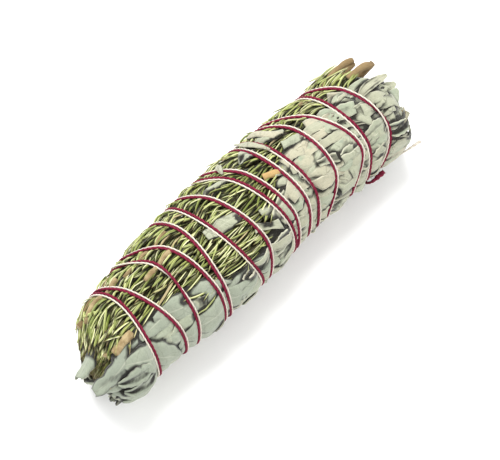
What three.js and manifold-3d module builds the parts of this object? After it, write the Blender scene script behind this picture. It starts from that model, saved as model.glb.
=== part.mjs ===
// A smudge stick: white sage and rosemary sprigs laid side by side, tips and cut stems at both
// ends, and bound along their whole length by a crimson and a cream thread wound on together.
// Millimetres, +Z up. The bundle lies along X on the plane z = 0. An angle round the bundle is
// in degrees, 0 on top, 90 on the -Y side, 180 underneath, and it grows from +Z towards -Y.
import * as THREE from "three";
import { mergeVertices } from "three/addons/utils/BufferGeometryUtils.js";
import Module from "manifold-3d";

const wasm = await Module();
wasm.setup();

// Driving dimensions
const AXIS_HEIGHT = 26.6; // middle of the bundle above the surface that it lies on
const AXIS_Y = 2.8; // and sideways, so that the origin is in the middle of the footprint
const BEND = 4.2; // how far the +X end bends towards -Y
const BEND_START = 15;
const BEND_END = 90;
const NEAR_BEND = 6; // and the -X end
const NEAR_BEND_START = -70;
const NEAR_BEND_END = -98;
const CRIMSON_RADIUS = 0.5;
const CREAM_RADIUS = 0.42;
const THREAD_SPACING = 1.2; // between the middles of the two threads
const THREAD_SINK = 0.45; // the lower thread's middle lies this far inside the outer radius
const THREAD_LIFT = 0.3; // threads stay this far above the surface
const LEAF_DEPTH = 1.7; // leaf tops lie this far inside the wound threads' outer radius
const CORE_DEPTH = 4.4; // the packed mass of a sprig lies this far inside it
const LEAF_LIFT = 2.2; // leaves, apart from the feet, stay this far above the surface
const INNER_RADIUS = 4.2; // where the sprigs' packed mass ends towards the middle
const SPRIG_GAP = 0.5; // between neighbouring sprigs
const LEAF_ROOM = 0.2; // leaves keep this much further from the middle of that gap
const CORE_NEAR = -88; // the packed mass ends here
const CORE_FAR = 87;
const LOWEST_TIP = -99.5; // and the leaves' tips here
const END_TAPER = 0.74; // how far the packed mass draws in over its last millimetres
const END_TAPER_RUN = 7;

// Outer radius of the wound bundle, at places along X
const RADIUS_X = [-101, -95, -88, -78, -66, -52, -36, -14, 8, 26, 50, 60, 72, 86, 94, 101];
const RADIUS_R = [
  11.5, 17.0, 20.9, 23.6, 23.6, 25.2, 26.9, 27.5,
  27.4, 26.3, 25.6, 25.0, 24.8, 25.2, 22.5, 14.5,
];

// Where each turn of thread crosses four lines along the bundle, from the -X end to the +X end
const TURN_ANGLES = [-65, -15, 45, 95];
const TURNS = [
  [-68.8, -66.6, -70.4, -72.5],
  [-65.6, -59.8, -55.0, -55.6],
  [-53.4, -43.6, -44.8, -48.5],
  [-46.5, -33.8, -30.8, -32.6],
  [-26.0, -23.5, -26.9, -29.2],
  [-16.9, -15.0, -11.7, -9.0],
  [-9.4, -2.5, 1.4, -3.0],
  [1.5, 10.2, 14.8, 13.0],
  [7.5, 16.1, 19.9, 16.4],
  [25.0, 27.2, 28.6, 23.8],
  [29.3, 32.9, 34.0, 30.0],
  [40.5, 48.1, 47.7, 36.5],
  [44.4, 58.2, 64.5, 52.5],
  [64.8, 67.3, 67.8, 62.0],
  [69.4, 78.1, 80.6, 71.0],
];
const THREAD_START = { angle: -150, x: -75 };
const THREAD_END = { angle: 120, x: 69 }; // after the last turn
const THREAD_STEP = 22.5; // degrees between the stations of a thread
const SWAP_SPREAD = 60; // degrees over which the two threads change sides
// Turn and angle at which they do, starting with the cream thread on the -X side
const SWAPS = [
  [0, 235], [2, -60], [2, 10], [4, 235], [5, 235], [6, 235], [7, 235],
  [9, 235], [10, 40], [12, 235], [13, 235], [14, 25],
];

const GOLDEN = 0.618034; // spreads repeats evenly without a pattern
const rad = THREE.MathUtils.degToRad;
const clamp = THREE.MathUtils.clamp;

// The same draws every time: a linear congruential generator
function draws(seed) {
  let state = seed >>> 0;
  return (low = 0, high = 1) => {
    state = (Math.imul(state, 1664525) + 1013904223) >>> 0;
    return low + ((high - low) * state) / 4294967296;
  };
}

// A smooth curve through points (xs, ys), with its slope at each from its two neighbours
function smooth(xs, ys, x) {
  const last = xs.length - 1;
  if (x <= xs[0]) return ys[0];
  if (x >= xs[last]) return ys[last];
  let i = 0;
  while (x > xs[i + 1]) i++;
  const slope = (j) => {
    const a = Math.max(j - 1, 0);
    const b = Math.min(j + 1, last);
    return (ys[b] - ys[a]) / (xs[b] - xs[a]);
  };
  const h = xs[i + 1] - xs[i];
  const t = (x - xs[i]) / h;
  const t2 = t * t;
  const t3 = t2 * t;
  return (
    (2 * t3 - 3 * t2 + 1) * ys[i] +
    (t3 - 2 * t2 + t) * h * slope(i) +
    (3 * t2 - 2 * t3) * ys[i + 1] +
    (t3 - t2) * h * slope(i + 1)
  );
}

const outerRadius = (x) => smooth(RADIUS_X, RADIUS_R, x);

// A point at a radius and an angle round the bundle, kept above the surface that it lies on
function place(x, angle, radius, lift = 0) {
  const c = Math.cos(rad(angle));
  const s = Math.sin(rad(angle));
  const farDrift = BEND * THREE.MathUtils.smoothstep(x, BEND_START, BEND_END);
  const nearDrift = NEAR_BEND * THREE.MathUtils.smoothstep(-x, -NEAR_BEND_START, -NEAR_BEND_END);
  const r = c < 0 ? Math.min(radius, (AXIS_HEIGHT - lift) / -c) : radius;
  return new THREE.Vector3(x, AXIS_Y - farDrift - nearDrift - r * s, AXIS_HEIGHT + r * c);
}

function middleOf(ring) {
  const sum = new THREE.Vector3();
  for (const point of ring) sum.add(point);
  return sum.divideScalar(ring.length);
}

// A closed body through rings of points: a cylinder whose rings are moved into place. All rings
// have the same number of points, or one point where the body closes to a tip.
function loft(rings) {
  const sides = Math.max(...rings.map((ring) => ring.length));
  const spans = rings.length - 1;
  const geometry = new THREE.CylinderGeometry(1, 1, 1, sides, spans);
  const { position } = geometry.attributes;
  const at = new THREE.Vector3();
  for (let i = 0; i < position.count; i++) {
    at.fromBufferAttribute(position, i);
    const ring = rings[Math.round((0.5 - at.y) * spans)];
    const turned = Math.atan2(at.x, at.z) / (2 * Math.PI);
    const j = Math.round((turned + 1) * sides) % sides;
    const onRim = Math.hypot(at.x, at.z) > 0.5;
    const target = onRim ? ring[j % ring.length] : middleOf(ring);
    position.setXYZ(i, target.x, target.y, target.z);
  }
  return solid(geometry);
}

// A rod of even thickness through points
function rod(points, radius, sides) {
  const corners = [];
  for (let j = 0; j < sides; j++) {
    const a = (j / sides) * 2 * Math.PI;
    corners.push(new THREE.Vector2(radius * Math.cos(a), radius * Math.sin(a)));
  }
  const path = new THREE.CatmullRomCurve3(points);
  path.getUtoTmapping = (u) => u; // the steps fall on the points
  const settings = { steps: points.length - 1, extrudePath: path, bevelEnabled: false };
  return solid(new THREE.ExtrudeGeometry(new THREE.Shape(corners), settings));
}

// A geometry as a solid: its seams merged, and faces that closed to a line left out
function solid(geometry) {
  geometry.deleteAttribute("normal");
  geometry.deleteAttribute("uv");
  const merged = mergeVertices(geometry, 1e-4);
  const faces = [];
  for (let i = 0; i < merged.index.count; i += 3) {
    const [a, b, c] = merged.index.array.slice(i, i + 3);
    if (a !== b && b !== c && c !== a) faces.push([a, b, c]);
  }
  const build = (triangles) =>
    new wasm.Manifold(
      new wasm.Mesh({
        numProp: 3,
        vertProperties: new Float32Array(merged.attributes.position.array),
        triVerts: new Uint32Array(triangles.flat()),
      }),
    );
  const made = build(faces);
  return made.volume() > 0 ? made : build(faces.map(([a, b, c]) => [a, c, b]));
}

function joined(solids) {
  return wasm.Manifold.union(solids);
}

// The largest connected body of a solid: loose scraps are dropped
function oneBody(made) {
  const bodies = made.decompose();
  bodies.sort((a, b) => b.volume() - a.volume());
  return bodies[0];
}

function meshOf(name, made, colour, roughness) {
  const { numProp, numVert, vertProperties, triVerts } = made.getMesh();
  const points = new Float32Array(numVert * 3);
  for (let i = 0; i < numVert; i++)
    points.set(vertProperties.subarray(i * numProp, i * numProp + 3), i * 3);
  const geometry = new THREE.BufferGeometry();
  geometry.setAttribute("position", new THREE.BufferAttribute(points, 3));
  geometry.setIndex(new THREE.BufferAttribute(triVerts, 1));
  geometry.computeVertexNormals();
  const material = new THREE.MeshStandardMaterial({ color: colour, roughness, metalness: 0 });
  const mesh = new THREE.Mesh(geometry, material);
  mesh.name = name;
  return mesh;
}

// The lines between neighbouring sprigs wander a little along the bundle
const boundary = (angle, x) => angle + 1.5 * Math.sin(x / 17 + 3 * rad(angle));

// The sprigs. Each holds a span of angles and a span of X, and shows at the ends that it reaches.
const SPRIGS = [
  { kind: "rosemary", angles: [-122, -84], x: [CORE_NEAR, CORE_FAR], seed: 11 },
  { kind: "rosemary", angles: [-84, -47], x: [CORE_NEAR, CORE_FAR], seed: 12 },
  { kind: "rosemary", angles: [-47, -10], x: [CORE_NEAR, CORE_FAR], seed: 13 },
  { kind: "rosemary", angles: [-10, 25], x: [CORE_NEAR, 30], seed: 14 },
  { kind: "rosemary", angles: [25, 57], x: [-46, 21], seed: 15 },
  { kind: "sage", angles: [57, 105], x: [CORE_NEAR, CORE_FAR], seed: 21 },
  { kind: "sage", angles: [105, 155], x: [CORE_NEAR, CORE_FAR], seed: 22 },
  { kind: "sage", angles: [155, 201], x: [CORE_NEAR, CORE_FAR], seed: 33 },
  { kind: "sage", angles: [201, 238], x: [CORE_NEAR, CORE_FAR], seed: 24 },
  { kind: "sage", angles: [-10, 25], x: [30, CORE_FAR], seed: 25 },
  { kind: "sage", angles: [25, 57], x: [21, CORE_FAR], seed: 26 },
  { kind: "sage", angles: [25, 57], x: [CORE_NEAR, -46], seed: 27 },
];

const UNDERNEATH = SPRIGS.find(({ angles: [low, high] }) => low < 180 && high > 180);

const atNearEnd = (sprig) => sprig.x[0] === CORE_NEAR;
const atFarEnd = (sprig) => sprig.x[1] === CORE_FAR;

// The free ends of a sprig: where its packed mass stops there, and which way that end points
const freeEnds = (sprig) => [
  ...(atNearEnd(sprig) ? [[CORE_NEAR, -1]] : []),
  ...(atFarEnd(sprig) ? [[CORE_FAR, 1]] : []),
];

// Keeps an angle inside a sprig's span, with a clearance in millimetres at that radius
function inside(sprig, x, angle, radius, clearance = SPRIG_GAP / 2 + LEAF_ROOM) {
  const room = THREE.MathUtils.radToDeg(clearance / radius);
  const [low, high] = sprig.angles;
  return clamp(angle, boundary(low, x) + room, boundary(high, x) - room);
}

// Angles of the two side walls of a sprig at a place
function walls(sprig, x, radius) {
  return [-Infinity, Infinity].map((angle) => inside(sprig, x, angle, radius, SPRIG_GAP / 2));
}

// The packed inner mass of a sprig: a slice of the bundle, rounded down at the free ends
const CORE_STATION = 20; // between its sections
const CORE_FACETS = 3; // across its outside
function packedMass(sprig) {
  const near = atNearEnd(sprig) ? END_TAPER_RUN : 0;
  const far = atFarEnd(sprig) ? END_TAPER_RUN : 0;
  const from = sprig.x[0] + (near || SPRIG_GAP / 2);
  const to = sprig.x[1] - (far || SPRIG_GAP / 2);
  const count = Math.max(2, Math.round((to - from) / CORE_STATION));
  const stations = near ? [[sprig.x[0], END_TAPER]] : [];
  for (let i = 0; i <= count; i++) stations.push([from + ((to - from) * i) / count, 1]);
  if (far) stations.push([sprig.x[1], END_TAPER]);
  const rings = [];
  for (const [x, taper] of stations) {
    const radius = (outerRadius(x) - CORE_DEPTH) * taper;
    const [low, high] = walls(sprig, x, radius);
    const [innerLow, innerHigh] = walls(sprig, x, INNER_RADIUS);
    const ring = [place(x, innerLow, INNER_RADIUS)];
    for (let j = 0; j <= CORE_FACETS; j++) {
      const angle = low + ((high - low) * j) / CORE_FACETS;
      ring.push(place(x, angle, radius, LEAF_LIFT));
    }
    ring.push(place(x, innerHigh, INNER_RADIUS));
    rings.push(ring);
  }
  return loft(rings);
}

// One rosemary leaf: a narrow three-sided needle from its sunk root to its tip
const NEEDLE_WIDTH = 2.0;
const NEEDLE_HEIGHT = 1.4;
function needle(sprig, rootX, rootAngle, rootRadius, tipX, tipAngle, tipRadius) {
  const section = (t, width) => {
    const x = rootX + (tipX - rootX) * t;
    const middle = rootAngle + (tipAngle - rootAngle) * t;
    const rising = rootRadius + (tipRadius - rootRadius) * Math.min(1, t * 1.8);
    const radius = Math.min(rising, outerRadius(x) - LEAF_DEPTH - coverDepth(x, middle));
    const half = THREE.MathUtils.radToDeg(width / 2 / radius);
    const keel = radius - NEEDLE_HEIGHT;
    return [
      place(x, inside(sprig, x, middle - half, radius), radius, LEAF_LIFT),
      place(x, inside(sprig, x, middle + half, radius), radius, LEAF_LIFT),
      place(x, inside(sprig, x, middle, keel), keel, LEAF_LIFT),
    ];
  };
  return loft([section(0, NEEDLE_WIDTH * 0.7), section(0.5, NEEDLE_WIDTH), [section(1, 0)[0]]]);
}

const NEEDLE_SPACING = 6.4; // millimetres of sprig length for each needle on its outside
const NEEDLE_REACH = [17, 25]; // along X, from root to tip
const NEEDLE_SWING = 10; // degrees between root and tip, at most
const NEEDLE_SINK = 0.4; // of the roots, in the packed mass
const RIM_NEEDLES = 5; // at a free end, round its edge
const INNER_NEEDLES = 3; // and inside that
const NEEDLE_TIP_REACH = [7.5, 11.5]; // of both, past the packed mass
function rosemaryNeedles(sprig) {
  const draw = draws(sprig.seed);
  const [low, high] = sprig.angles;
  const made = [];
  const length = sprig.x[1] - sprig.x[0];
  const count = Math.round(length / NEEDLE_SPACING);
  const lowestTip = atNearEnd(sprig) ? LOWEST_TIP : sprig.x[0] + 1;
  for (let i = 0; i < count; i++) {
    const reach = draw(...NEEDLE_REACH);
    const tip = sprig.x[0] - 8 + ((length + 2) * (i + draw(-0.4, 0.4))) / count;
    const tipX = clamp(tip, lowestTip, sprig.x[1] - 6);
    const rootX = Math.min(tipX + reach, sprig.x[1] - 1);
    const lane = ((i * GOLDEN * GOLDEN) % 1) * 0.86 + 0.07;
    const rootAngle = low + (high - low) * lane;
    const tipAngle = rootAngle + draw(-NEEDLE_SWING, NEEDLE_SWING);
    const rootRadius = outerRadius(rootX) - CORE_DEPTH - NEEDLE_SINK;
    const tipRadius = outerRadius(tipX) - LEAF_DEPTH - coverDepth(tipX, tipAngle) - draw(0, 0.5);
    made.push(needle(sprig, rootX, rootAngle, rootRadius, tipX, tipAngle, tipRadius));
  }
  for (const [endX, outwards] of freeEnds(sprig)) {
    const tip = () => endX + outwards * draw(...NEEDLE_TIP_REACH);
    for (let i = 0; i < RIM_NEEDLES; i++) {
      const rootX = endX - outwards * 10;
      const tipX = tip();
      const angle = low + ((high - low) * (i + 0.5)) / RIM_NEEDLES;
      const rootRadius = outerRadius(rootX) - CORE_DEPTH - NEEDLE_SINK;
      const tipRadius = outerRadius(tipX) - LEAF_DEPTH - draw(0, 1.2);
      const tipAngle = angle + draw(-NEEDLE_SWING, NEEDLE_SWING) * 0.8;
      made.push(needle(sprig, rootX, angle, rootRadius, tipX, tipAngle, tipRadius));
    }
    for (let i = 0; i < INNER_NEEDLES; i++) {
      const rootX = endX - outwards * 4;
      const radius = INNER_RADIUS + 2 + (9 * i) / (INNER_NEEDLES - 1);
      const angle = low + (high - low) * (0.2 + 0.6 * ((i * GOLDEN) % 1));
      const tipX = tip();
      const tipAngle = angle + draw(-NEEDLE_SWING, NEEDLE_SWING) * 0.6;
      made.push(needle(sprig, rootX, angle, radius, tipX, tipAngle, radius + draw(0, 3)));
    }
  }
  return made;
}

// One sage leaf: a waved blade with a raised midrib, its root sunk and its tip and one edge lifted
const LEAF_SHARES = [0.2, 0.55, 0.85]; // along the leaf
const LEAF_WIDTHS = [0.75, 1.0, 0.55]; // of its width, there
const MIDRIB_DEPTH = 0.15;
const LEAF_SINK = 0.6; // of the roots, in the packed mass
function sageBlade(sprig, leaf) {
  const { rootX, tipX, rootAngle, tipAngle, halfWidth, rootDepth, tipDepth, tilt, keel } = leaf;
  const station = (t, share) => {
    const x = rootX + (tipX - rootX) * t;
    const outer = outerRadius(x);
    const depth = rootDepth + (tipDepth - rootDepth) * Math.min(1, t * 2.2);
    const middle = rootAngle + (tipAngle - rootAngle) * t;
    const half = THREE.MathUtils.radToDeg((halfWidth * share) / outer);
    const wave = 0.35 * Math.sin(t * 9 + leaf.phase);
    const point = (side, extra) => {
      const radius = outer - Math.max(LEAF_DEPTH, depth + extra);
      return place(x, inside(sprig, x, middle + side * half, radius), radius, LEAF_LIFT);
    };
    const left = 0.6 * tilt + wave;
    const right = 0.3 - 0.6 * tilt - wave;
    return [point(-1, left), point(0, MIDRIB_DEPTH), point(1, right), point(0, keel)];
  };
  return loft([
    [station(0, 0)[1]],
    ...LEAF_SHARES.map((t, i) => station(t, LEAF_WIDTHS[i])),
    [station(1, 0)[1]],
  ]);
}

const LEAF_SPACING = 17; // millimetres of sprig length for each leaf on its outside
const LEAF_REACH = [30, 42]; // along X, from root to tip
const LEAF_SIDESTEP = 0.21; // leaves lie by turns this share of the sprig's width either side
const RIM_LEAVES = 2; // at a free end, round its edge
const INNER_LEAVES = 2; // and inside that
const LEAF_TIP_REACH = [8, 11.5]; // of both, past the packed mass
function sageLeaves(sprig) {
  const draw = draws(sprig.seed);
  const [low, high] = sprig.angles;
  const made = [];
  const length = sprig.x[1] - sprig.x[0];
  const count = Math.round(length / LEAF_SPACING);
  const lowestTip = atNearEnd(sprig) ? LOWEST_TIP : sprig.x[0] + 1;
  for (let i = 0; i < count; i++) {
    const reach = draw(...LEAF_REACH);
    const tip = sprig.x[0] - 8 + ((length - 6) * i) / (count - 1) + draw(-3, 3);
    const tipX = clamp(tip, lowestTip, sprig.x[1] - 12);
    const side = i % 2 ? LEAF_SIDESTEP : -LEAF_SIDESTEP;
    made.push(
      sageBlade(sprig, {
        rootX: Math.min(tipX + reach, sprig.x[1] - 1),
        tipX,
        rootAngle: low + (high - low) * (0.5 + side * 0.6),
        tipAngle: low + (high - low) * (0.5 + side + draw(-0.12, 0.12)),
        halfWidth: draw(5.6, 7.6),
        rootDepth: CORE_DEPTH + LEAF_SINK,
        tipDepth: LEAF_DEPTH + draw(0, 0.5),
        tilt: i % 2 ? 1 : -1,
        keel: 2.4,
        phase: draw(0, 6.3),
      }),
    );
  }
  for (const [endX, outwards] of freeEnds(sprig)) {
    for (let i = 0; i < RIM_LEAVES + INNER_LEAVES; i++) {
      const rim = i < RIM_LEAVES;
      const inner = i - RIM_LEAVES;
      const share = rim ? (i + 0.5) / RIM_LEAVES : 0.3 + (0.4 * inner) / (INNER_LEAVES - 1);
      const angle = low + (high - low) * share;
      const rootDepth = CORE_DEPTH + (rim ? LEAF_SINK : 4 + 4 * inner);
      made.push(
        sageBlade(sprig, {
          rootX: endX - outwards * 12,
          tipX: endX + outwards * draw(...LEAF_TIP_REACH),
          rootAngle: angle,
          tipAngle: angle + draw(-5, 5),
          halfWidth: draw(5.2, 6.8),
          rootDepth,
          tipDepth: rim ? LEAF_DEPTH + draw(0, 1) : rootDepth - draw(0, 2),
          tilt: draw(-1.6, 1.6),
          keel: 1.2,
          phase: draw(0, 6.3),
        }),
      );
    }
  }
  return made;
}

// Sage leaves that lie loose on the rosemary, under the threads
const LOOSE_LEAVES = [
  { name: "loose_sage_leaf_1", x: [-16, 2], angles: [4, 14], halfWidth: 3.6 },
  { name: "loose_sage_leaf_2", x: [-9, 10], angles: [-26, -22], halfWidth: 3.4 },
  { name: "loose_sage_leaf_3", x: [18, 28], angles: [-34, -30], halfWidth: 3.2 },
  { name: "loose_sage_leaf_4", x: [29, 44], angles: [-36, -24], halfWidth: 3.8 },
];
const LOOSE_DEPTH = 1.6; // needles keep this much lower under a loose leaf
const LOOSE_MARGIN = 5; // and this far round it
function coverDepth(x, angle) {
  const covers = (leaf) => {
    const [low, high] = leaf.angles;
    const room = THREE.MathUtils.radToDeg((leaf.halfWidth + LOOSE_MARGIN) / outerRadius(x));
    const alongside = x > leaf.x[0] - LOOSE_MARGIN && x < leaf.x[1] + LOOSE_MARGIN;
    return alongside && Math.abs(angle - (low + high) / 2) < room + Math.abs(high - low) / 2;
  };
  return LOOSE_LEAVES.some(covers) ? LOOSE_DEPTH : 0;
}

function looseLeaf(leaf) {
  const open = { angles: [-180, 180] };
  return sageBlade(open, {
    rootX: leaf.x[1],
    tipX: leaf.x[0],
    rootAngle: leaf.angles[1],
    tipAngle: leaf.angles[0],
    halfWidth: leaf.halfWidth,
    rootDepth: LEAF_DEPTH,
    tipDepth: LEAF_DEPTH,
    tilt: 0,
    keel: 0.9,
    phase: 0,
  });
}

// The fold of a leaf that bows out underneath, between two turns of thread, and rests on a flat
// spot: its place along X and how far it is from the middle line
const FEET = [
  [-38.5, -4],
  [15.3, 4.5],
  [49, -4],
];
const FOOT_HALF_LENGTH = 1.6;
const FOOT_HALF_WIDTH = 2.8;
const FOOT_RUN = 1.8;
const FOOT_HEIGHT = 7;
function foot([middleX, sideways]) {
  const y = place(middleX, 180, INNER_RADIUS).y + sideways;
  const ring = (x, z, halfWidth) => [
    new THREE.Vector3(x, y - halfWidth, z),
    new THREE.Vector3(x, y + halfWidth, z),
    new THREE.Vector3(x, y, z + FOOT_HEIGHT),
  ];
  const edge = AXIS_HEIGHT - (outerRadius(middleX) - LEAF_DEPTH - 1);
  const long = FOOT_HALF_LENGTH + FOOT_RUN;
  return loft([
    ring(middleX - long, edge, FOOT_HALF_WIDTH * 0.6),
    ring(middleX - FOOT_HALF_LENGTH, 0, FOOT_HALF_WIDTH),
    ring(middleX + FOOT_HALF_LENGTH, 0, FOOT_HALF_WIDTH),
    ring(middleX + long, edge, FOOT_HALF_WIDTH * 0.6),
  ]);
}

// Stems by sprig: radii from the bundle's middle at the start, middle and end, and how far
// each end reaches along X
const STEMS = [
  { sprig: 0, radii: [15, 13, 17], x: [-86, 92], radius: 1.5 },
  { sprig: 1, radii: [20, 14, 19.5], x: [-84, 97], radius: 1.7 },
  { sprig: 2, radii: [13, 12, 18.5], x: [-88, 100], radius: 1.6 },
  { sprig: 3, radii: [17.5, 12, 14], x: [-88, 24], radius: 1.7 },
  { sprig: 4, radii: [14, 13, 14], x: [-43, 17], radius: 1.2 },
  { sprig: 5, radii: [13, 12, 19], x: [-92, 94], radius: 1.8 },
  { sprig: 6, radii: [12, 12, 14], x: [-90, 95], radius: 1.6 },
  { sprig: 7, radii: [14, 12, 13], x: [-91, 94], radius: 1.6 },
  { sprig: 8, radii: [13, 12, 14], x: [-90, 95], radius: 1.5 },
  { sprig: 9, radii: [14, 12, 13], x: [34, 96], radius: 1.4 },
  { sprig: 10, radii: [14, 12, 12], x: [25, 95], radius: 1.4 },
  { sprig: 11, radii: [11, 12, 13], x: [-93, -50], radius: 1.8 },
];
const STEM_SIDES = 6;
const STEM_STEPS = 6;
const STEM_CLEARANCE = 0.4;
const BORE_REACH = 4.5; // a bore runs on past both ends of its stem, and of the packed mass

function stemLine(stem) {
  const [low, high] = SPRIGS[stem.sprig].angles;
  const [from, to] = stem.x;
  const points = [];
  for (let i = 0; i <= STEM_STEPS; i++) {
    const t = i / STEM_STEPS;
    const radius = smooth([0, 0.5, 1], stem.radii, t);
    points.push(place(from + (to - from) * t, (low + high) / 2, radius));
  }
  return points;
}

const stemRod = (stem) => rod(stemLine(stem), stem.radius, STEM_SIDES);

// The first of two points, carried on past itself
function carriedOn(first, second, reach) {
  const way = first.clone().sub(second).normalize();
  return first.clone().addScaledVector(way, reach);
}

function stemBore(stem) {
  const sprig = SPRIGS[stem.sprig];
  const line = stemLine(stem);
  const [from, to] = stem.x;
  const nearReach = atNearEnd(sprig) ? Math.max(from - CORE_NEAR, 0) : 0;
  const farReach = atFarEnd(sprig) ? Math.max(CORE_FAR - to, 0) : 0;
  const start = carriedOn(line[0], line[1], nearReach + BORE_REACH);
  const end = carriedOn(line[STEM_STEPS], line[STEM_STEPS - 1], farReach + BORE_REACH);
  return rod([start, ...line, end], stem.radius + STEM_CLEARANCE, STEM_SIDES);
}

// The middle line of the two threads: X against the angle turned through since the first turn
const lineAngles = [THREAD_START.angle];
const lineX = [THREAD_START.x];
TURNS.forEach((turn, k) =>
  turn.forEach((x, j) => {
    lineAngles.push(360 * k + TURN_ANGLES[j]);
    lineX.push(x);
  }),
);
const LAST_ANGLE = 360 * (TURNS.length - 1) + THREAD_END.angle;
lineAngles.push(LAST_ANGLE);
lineX.push(THREAD_END.x);

// How far the pair has twisted at an angle, in degrees: half a turn at each swap
function twist(angle) {
  return SWAPS.reduce((sum, [turn, at]) => {
    const t = clamp((angle - 360 * turn - at) / SWAP_SPREAD + 0.5, 0, 1);
    return sum + 180 * t;
  }, 0);
}

// The middle of one thread: side is -1 or 1 across the pair
function threadPoint(angle, side) {
  const x = smooth(lineAngles, lineX, angle);
  const turned = rad(twist(angle));
  const across = (side * THREAD_SPACING * Math.cos(turned)) / 2;
  const up = (side * THREAD_SPACING * Math.sin(turned)) / 2;
  const lift = (THREAD_SPACING / 2) * Math.abs(Math.sin(turned));
  const radius = outerRadius(x) - THREAD_SINK + lift + up;
  return place(x + across, angle, radius, CRIMSON_RADIUS + THREAD_LIFT);
}

// Loose ends past the last turn, as X, angle and radius
const CRIMSON_TAIL = [
  [70.5, 121, 27.4],
  [67.5, 130, 27.8],
  [62.5, 128, 27.8],
  [61, 114, 28.2],
  [64, 104, 28.8],
  [70, 101.5, 29.2],
];
const CREAM_TAIL = [
  [69.4, 125, 24.6],
  [72, 128, 25.2],
  [78, 121, 26.6],
  [85, 112, 28.2],
  [92, 106, 30.2],
];

const THREAD_SIDES = 4;
function thread(side, radius, tail) {
  const middles = [];
  const steps = Math.floor((LAST_ANGLE - THREAD_START.angle) / THREAD_STEP);
  for (let i = 0; i <= steps; i++)
    middles.push(threadPoint(THREAD_START.angle + i * THREAD_STEP, side));
  for (const [x, angle, r] of tail) middles.push(place(x, angle, r));
  return rod(middles, radius, THREAD_SIDES);
}

const SAGE_GREEN = 0xb9c0ae;
const ROSEMARY_GREEN = 0x8d9a58;
const BARK_BROWN = 0xa9835a;
const SAGE_STEM = 0xb3a98c;
const CRIMSON = 0x9c1638;
const CREAM = 0xf2e8dc;

// The whole bundle
const bundle = new THREE.Group();
const counts = { rosemary: 0, sage: 0 };
SPRIGS.forEach((sprig, i) => {
  const stem = STEMS.find((s) => s.sprig === i);
  const isSage = sprig.kind === "sage";
  const leaves = isSage ? sageLeaves(sprig) : rosemaryNeedles(sprig);
  if (sprig === UNDERNEATH) leaves.push(...FEET.map(foot));
  const mass = joined([packedMass(sprig), ...leaves]).subtract(stemBore(stem));
  const number = ++counts[sprig.kind];
  const leafName = isSage ? `sage_leaves_${number}` : `rosemary_needles_${number}`;
  const stemName = `${sprig.kind}_stem_${number}`;
  bundle.add(meshOf(leafName, oneBody(mass), isSage ? SAGE_GREEN : ROSEMARY_GREEN, 0.9));
  bundle.add(meshOf(stemName, stemRod(stem), isSage ? SAGE_STEM : BARK_BROWN, 0.85));
});
for (const leaf of LOOSE_LEAVES) bundle.add(meshOf(leaf.name, looseLeaf(leaf), SAGE_GREEN, 0.9));
const crimsonThread = thread(1, CRIMSON_RADIUS, CRIMSON_TAIL);
const creamThread = thread(-1, CREAM_RADIUS, CREAM_TAIL);
bundle.add(meshOf("thread_crimson", crimsonThread, CRIMSON, 0.8));
bundle.add(meshOf("thread_cream", creamThread, CREAM, 0.85));

export default bundle;
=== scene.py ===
"""A smudge stick of rosemary and white sage, bound by a crimson and a cream thread.

Lengths are in millimetres until a point is placed, and then in metres. The bundle lies along X.
An angle round it is in degrees, 0 on top and 90 on the -Y side. A run is a distance along the
bundle's outside: it is X itself, and past the free ends it carries on over the rounded edge.
A depth is measured inwards from the outermost leaves.
"""

import math
from types import SimpleNamespace

import bmesh
import bpy
import numpy as np
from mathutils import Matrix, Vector


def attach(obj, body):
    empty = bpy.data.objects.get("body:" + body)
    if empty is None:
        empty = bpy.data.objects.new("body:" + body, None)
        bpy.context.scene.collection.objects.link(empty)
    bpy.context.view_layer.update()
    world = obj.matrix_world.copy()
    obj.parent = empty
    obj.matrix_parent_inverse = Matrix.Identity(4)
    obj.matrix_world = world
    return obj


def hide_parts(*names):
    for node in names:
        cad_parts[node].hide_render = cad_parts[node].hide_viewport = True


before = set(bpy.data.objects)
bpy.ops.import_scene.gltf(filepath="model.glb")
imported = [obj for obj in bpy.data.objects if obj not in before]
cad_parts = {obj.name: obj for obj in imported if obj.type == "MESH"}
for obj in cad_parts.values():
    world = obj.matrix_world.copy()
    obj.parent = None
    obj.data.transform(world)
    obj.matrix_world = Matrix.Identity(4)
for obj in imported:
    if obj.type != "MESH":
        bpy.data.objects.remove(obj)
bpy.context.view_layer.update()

MM = 0.001

# The bundle's form, as its solids have it
AXIS_HEIGHT = 26.6
AXIS_Y = 2.8
MEAN_RADIUS = 25
DEGREES_PER_MM = math.degrees(1 / MEAN_RADIUS)  # round the bundle
# Each end's drift towards -Y, and between which X it grows
BENDS = [(4.2, 15.0, 90.0), (6.0, -70.0, -98.0)]
RADIUS_X = [-101, -95, -88, -78, -66, -52, -36, -14, 8, 26, 50, 60, 72, 86, 94, 101]
RADIUS_R = [
    11.5, 17.0, 20.9, 23.6, 23.6, 25.2, 26.9, 27.5, 27.4, 26.3, 25.6, 25.0, 24.8, 25.2, 22.5, 14.5,
]
THREAD_LIFT = 0.36  # the threads' lowest points above the surface
END_TRIM = 1.9  # the leaves' tips draw in by this much at the near end
END_TRIM_X = (-80, -92)  # more and more between these
TOP_TRIM = 3.9  # and by this much more at its upper side
TOP_TRIM_X = (-62, -92)
TOP_ANGLE = -75

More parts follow.
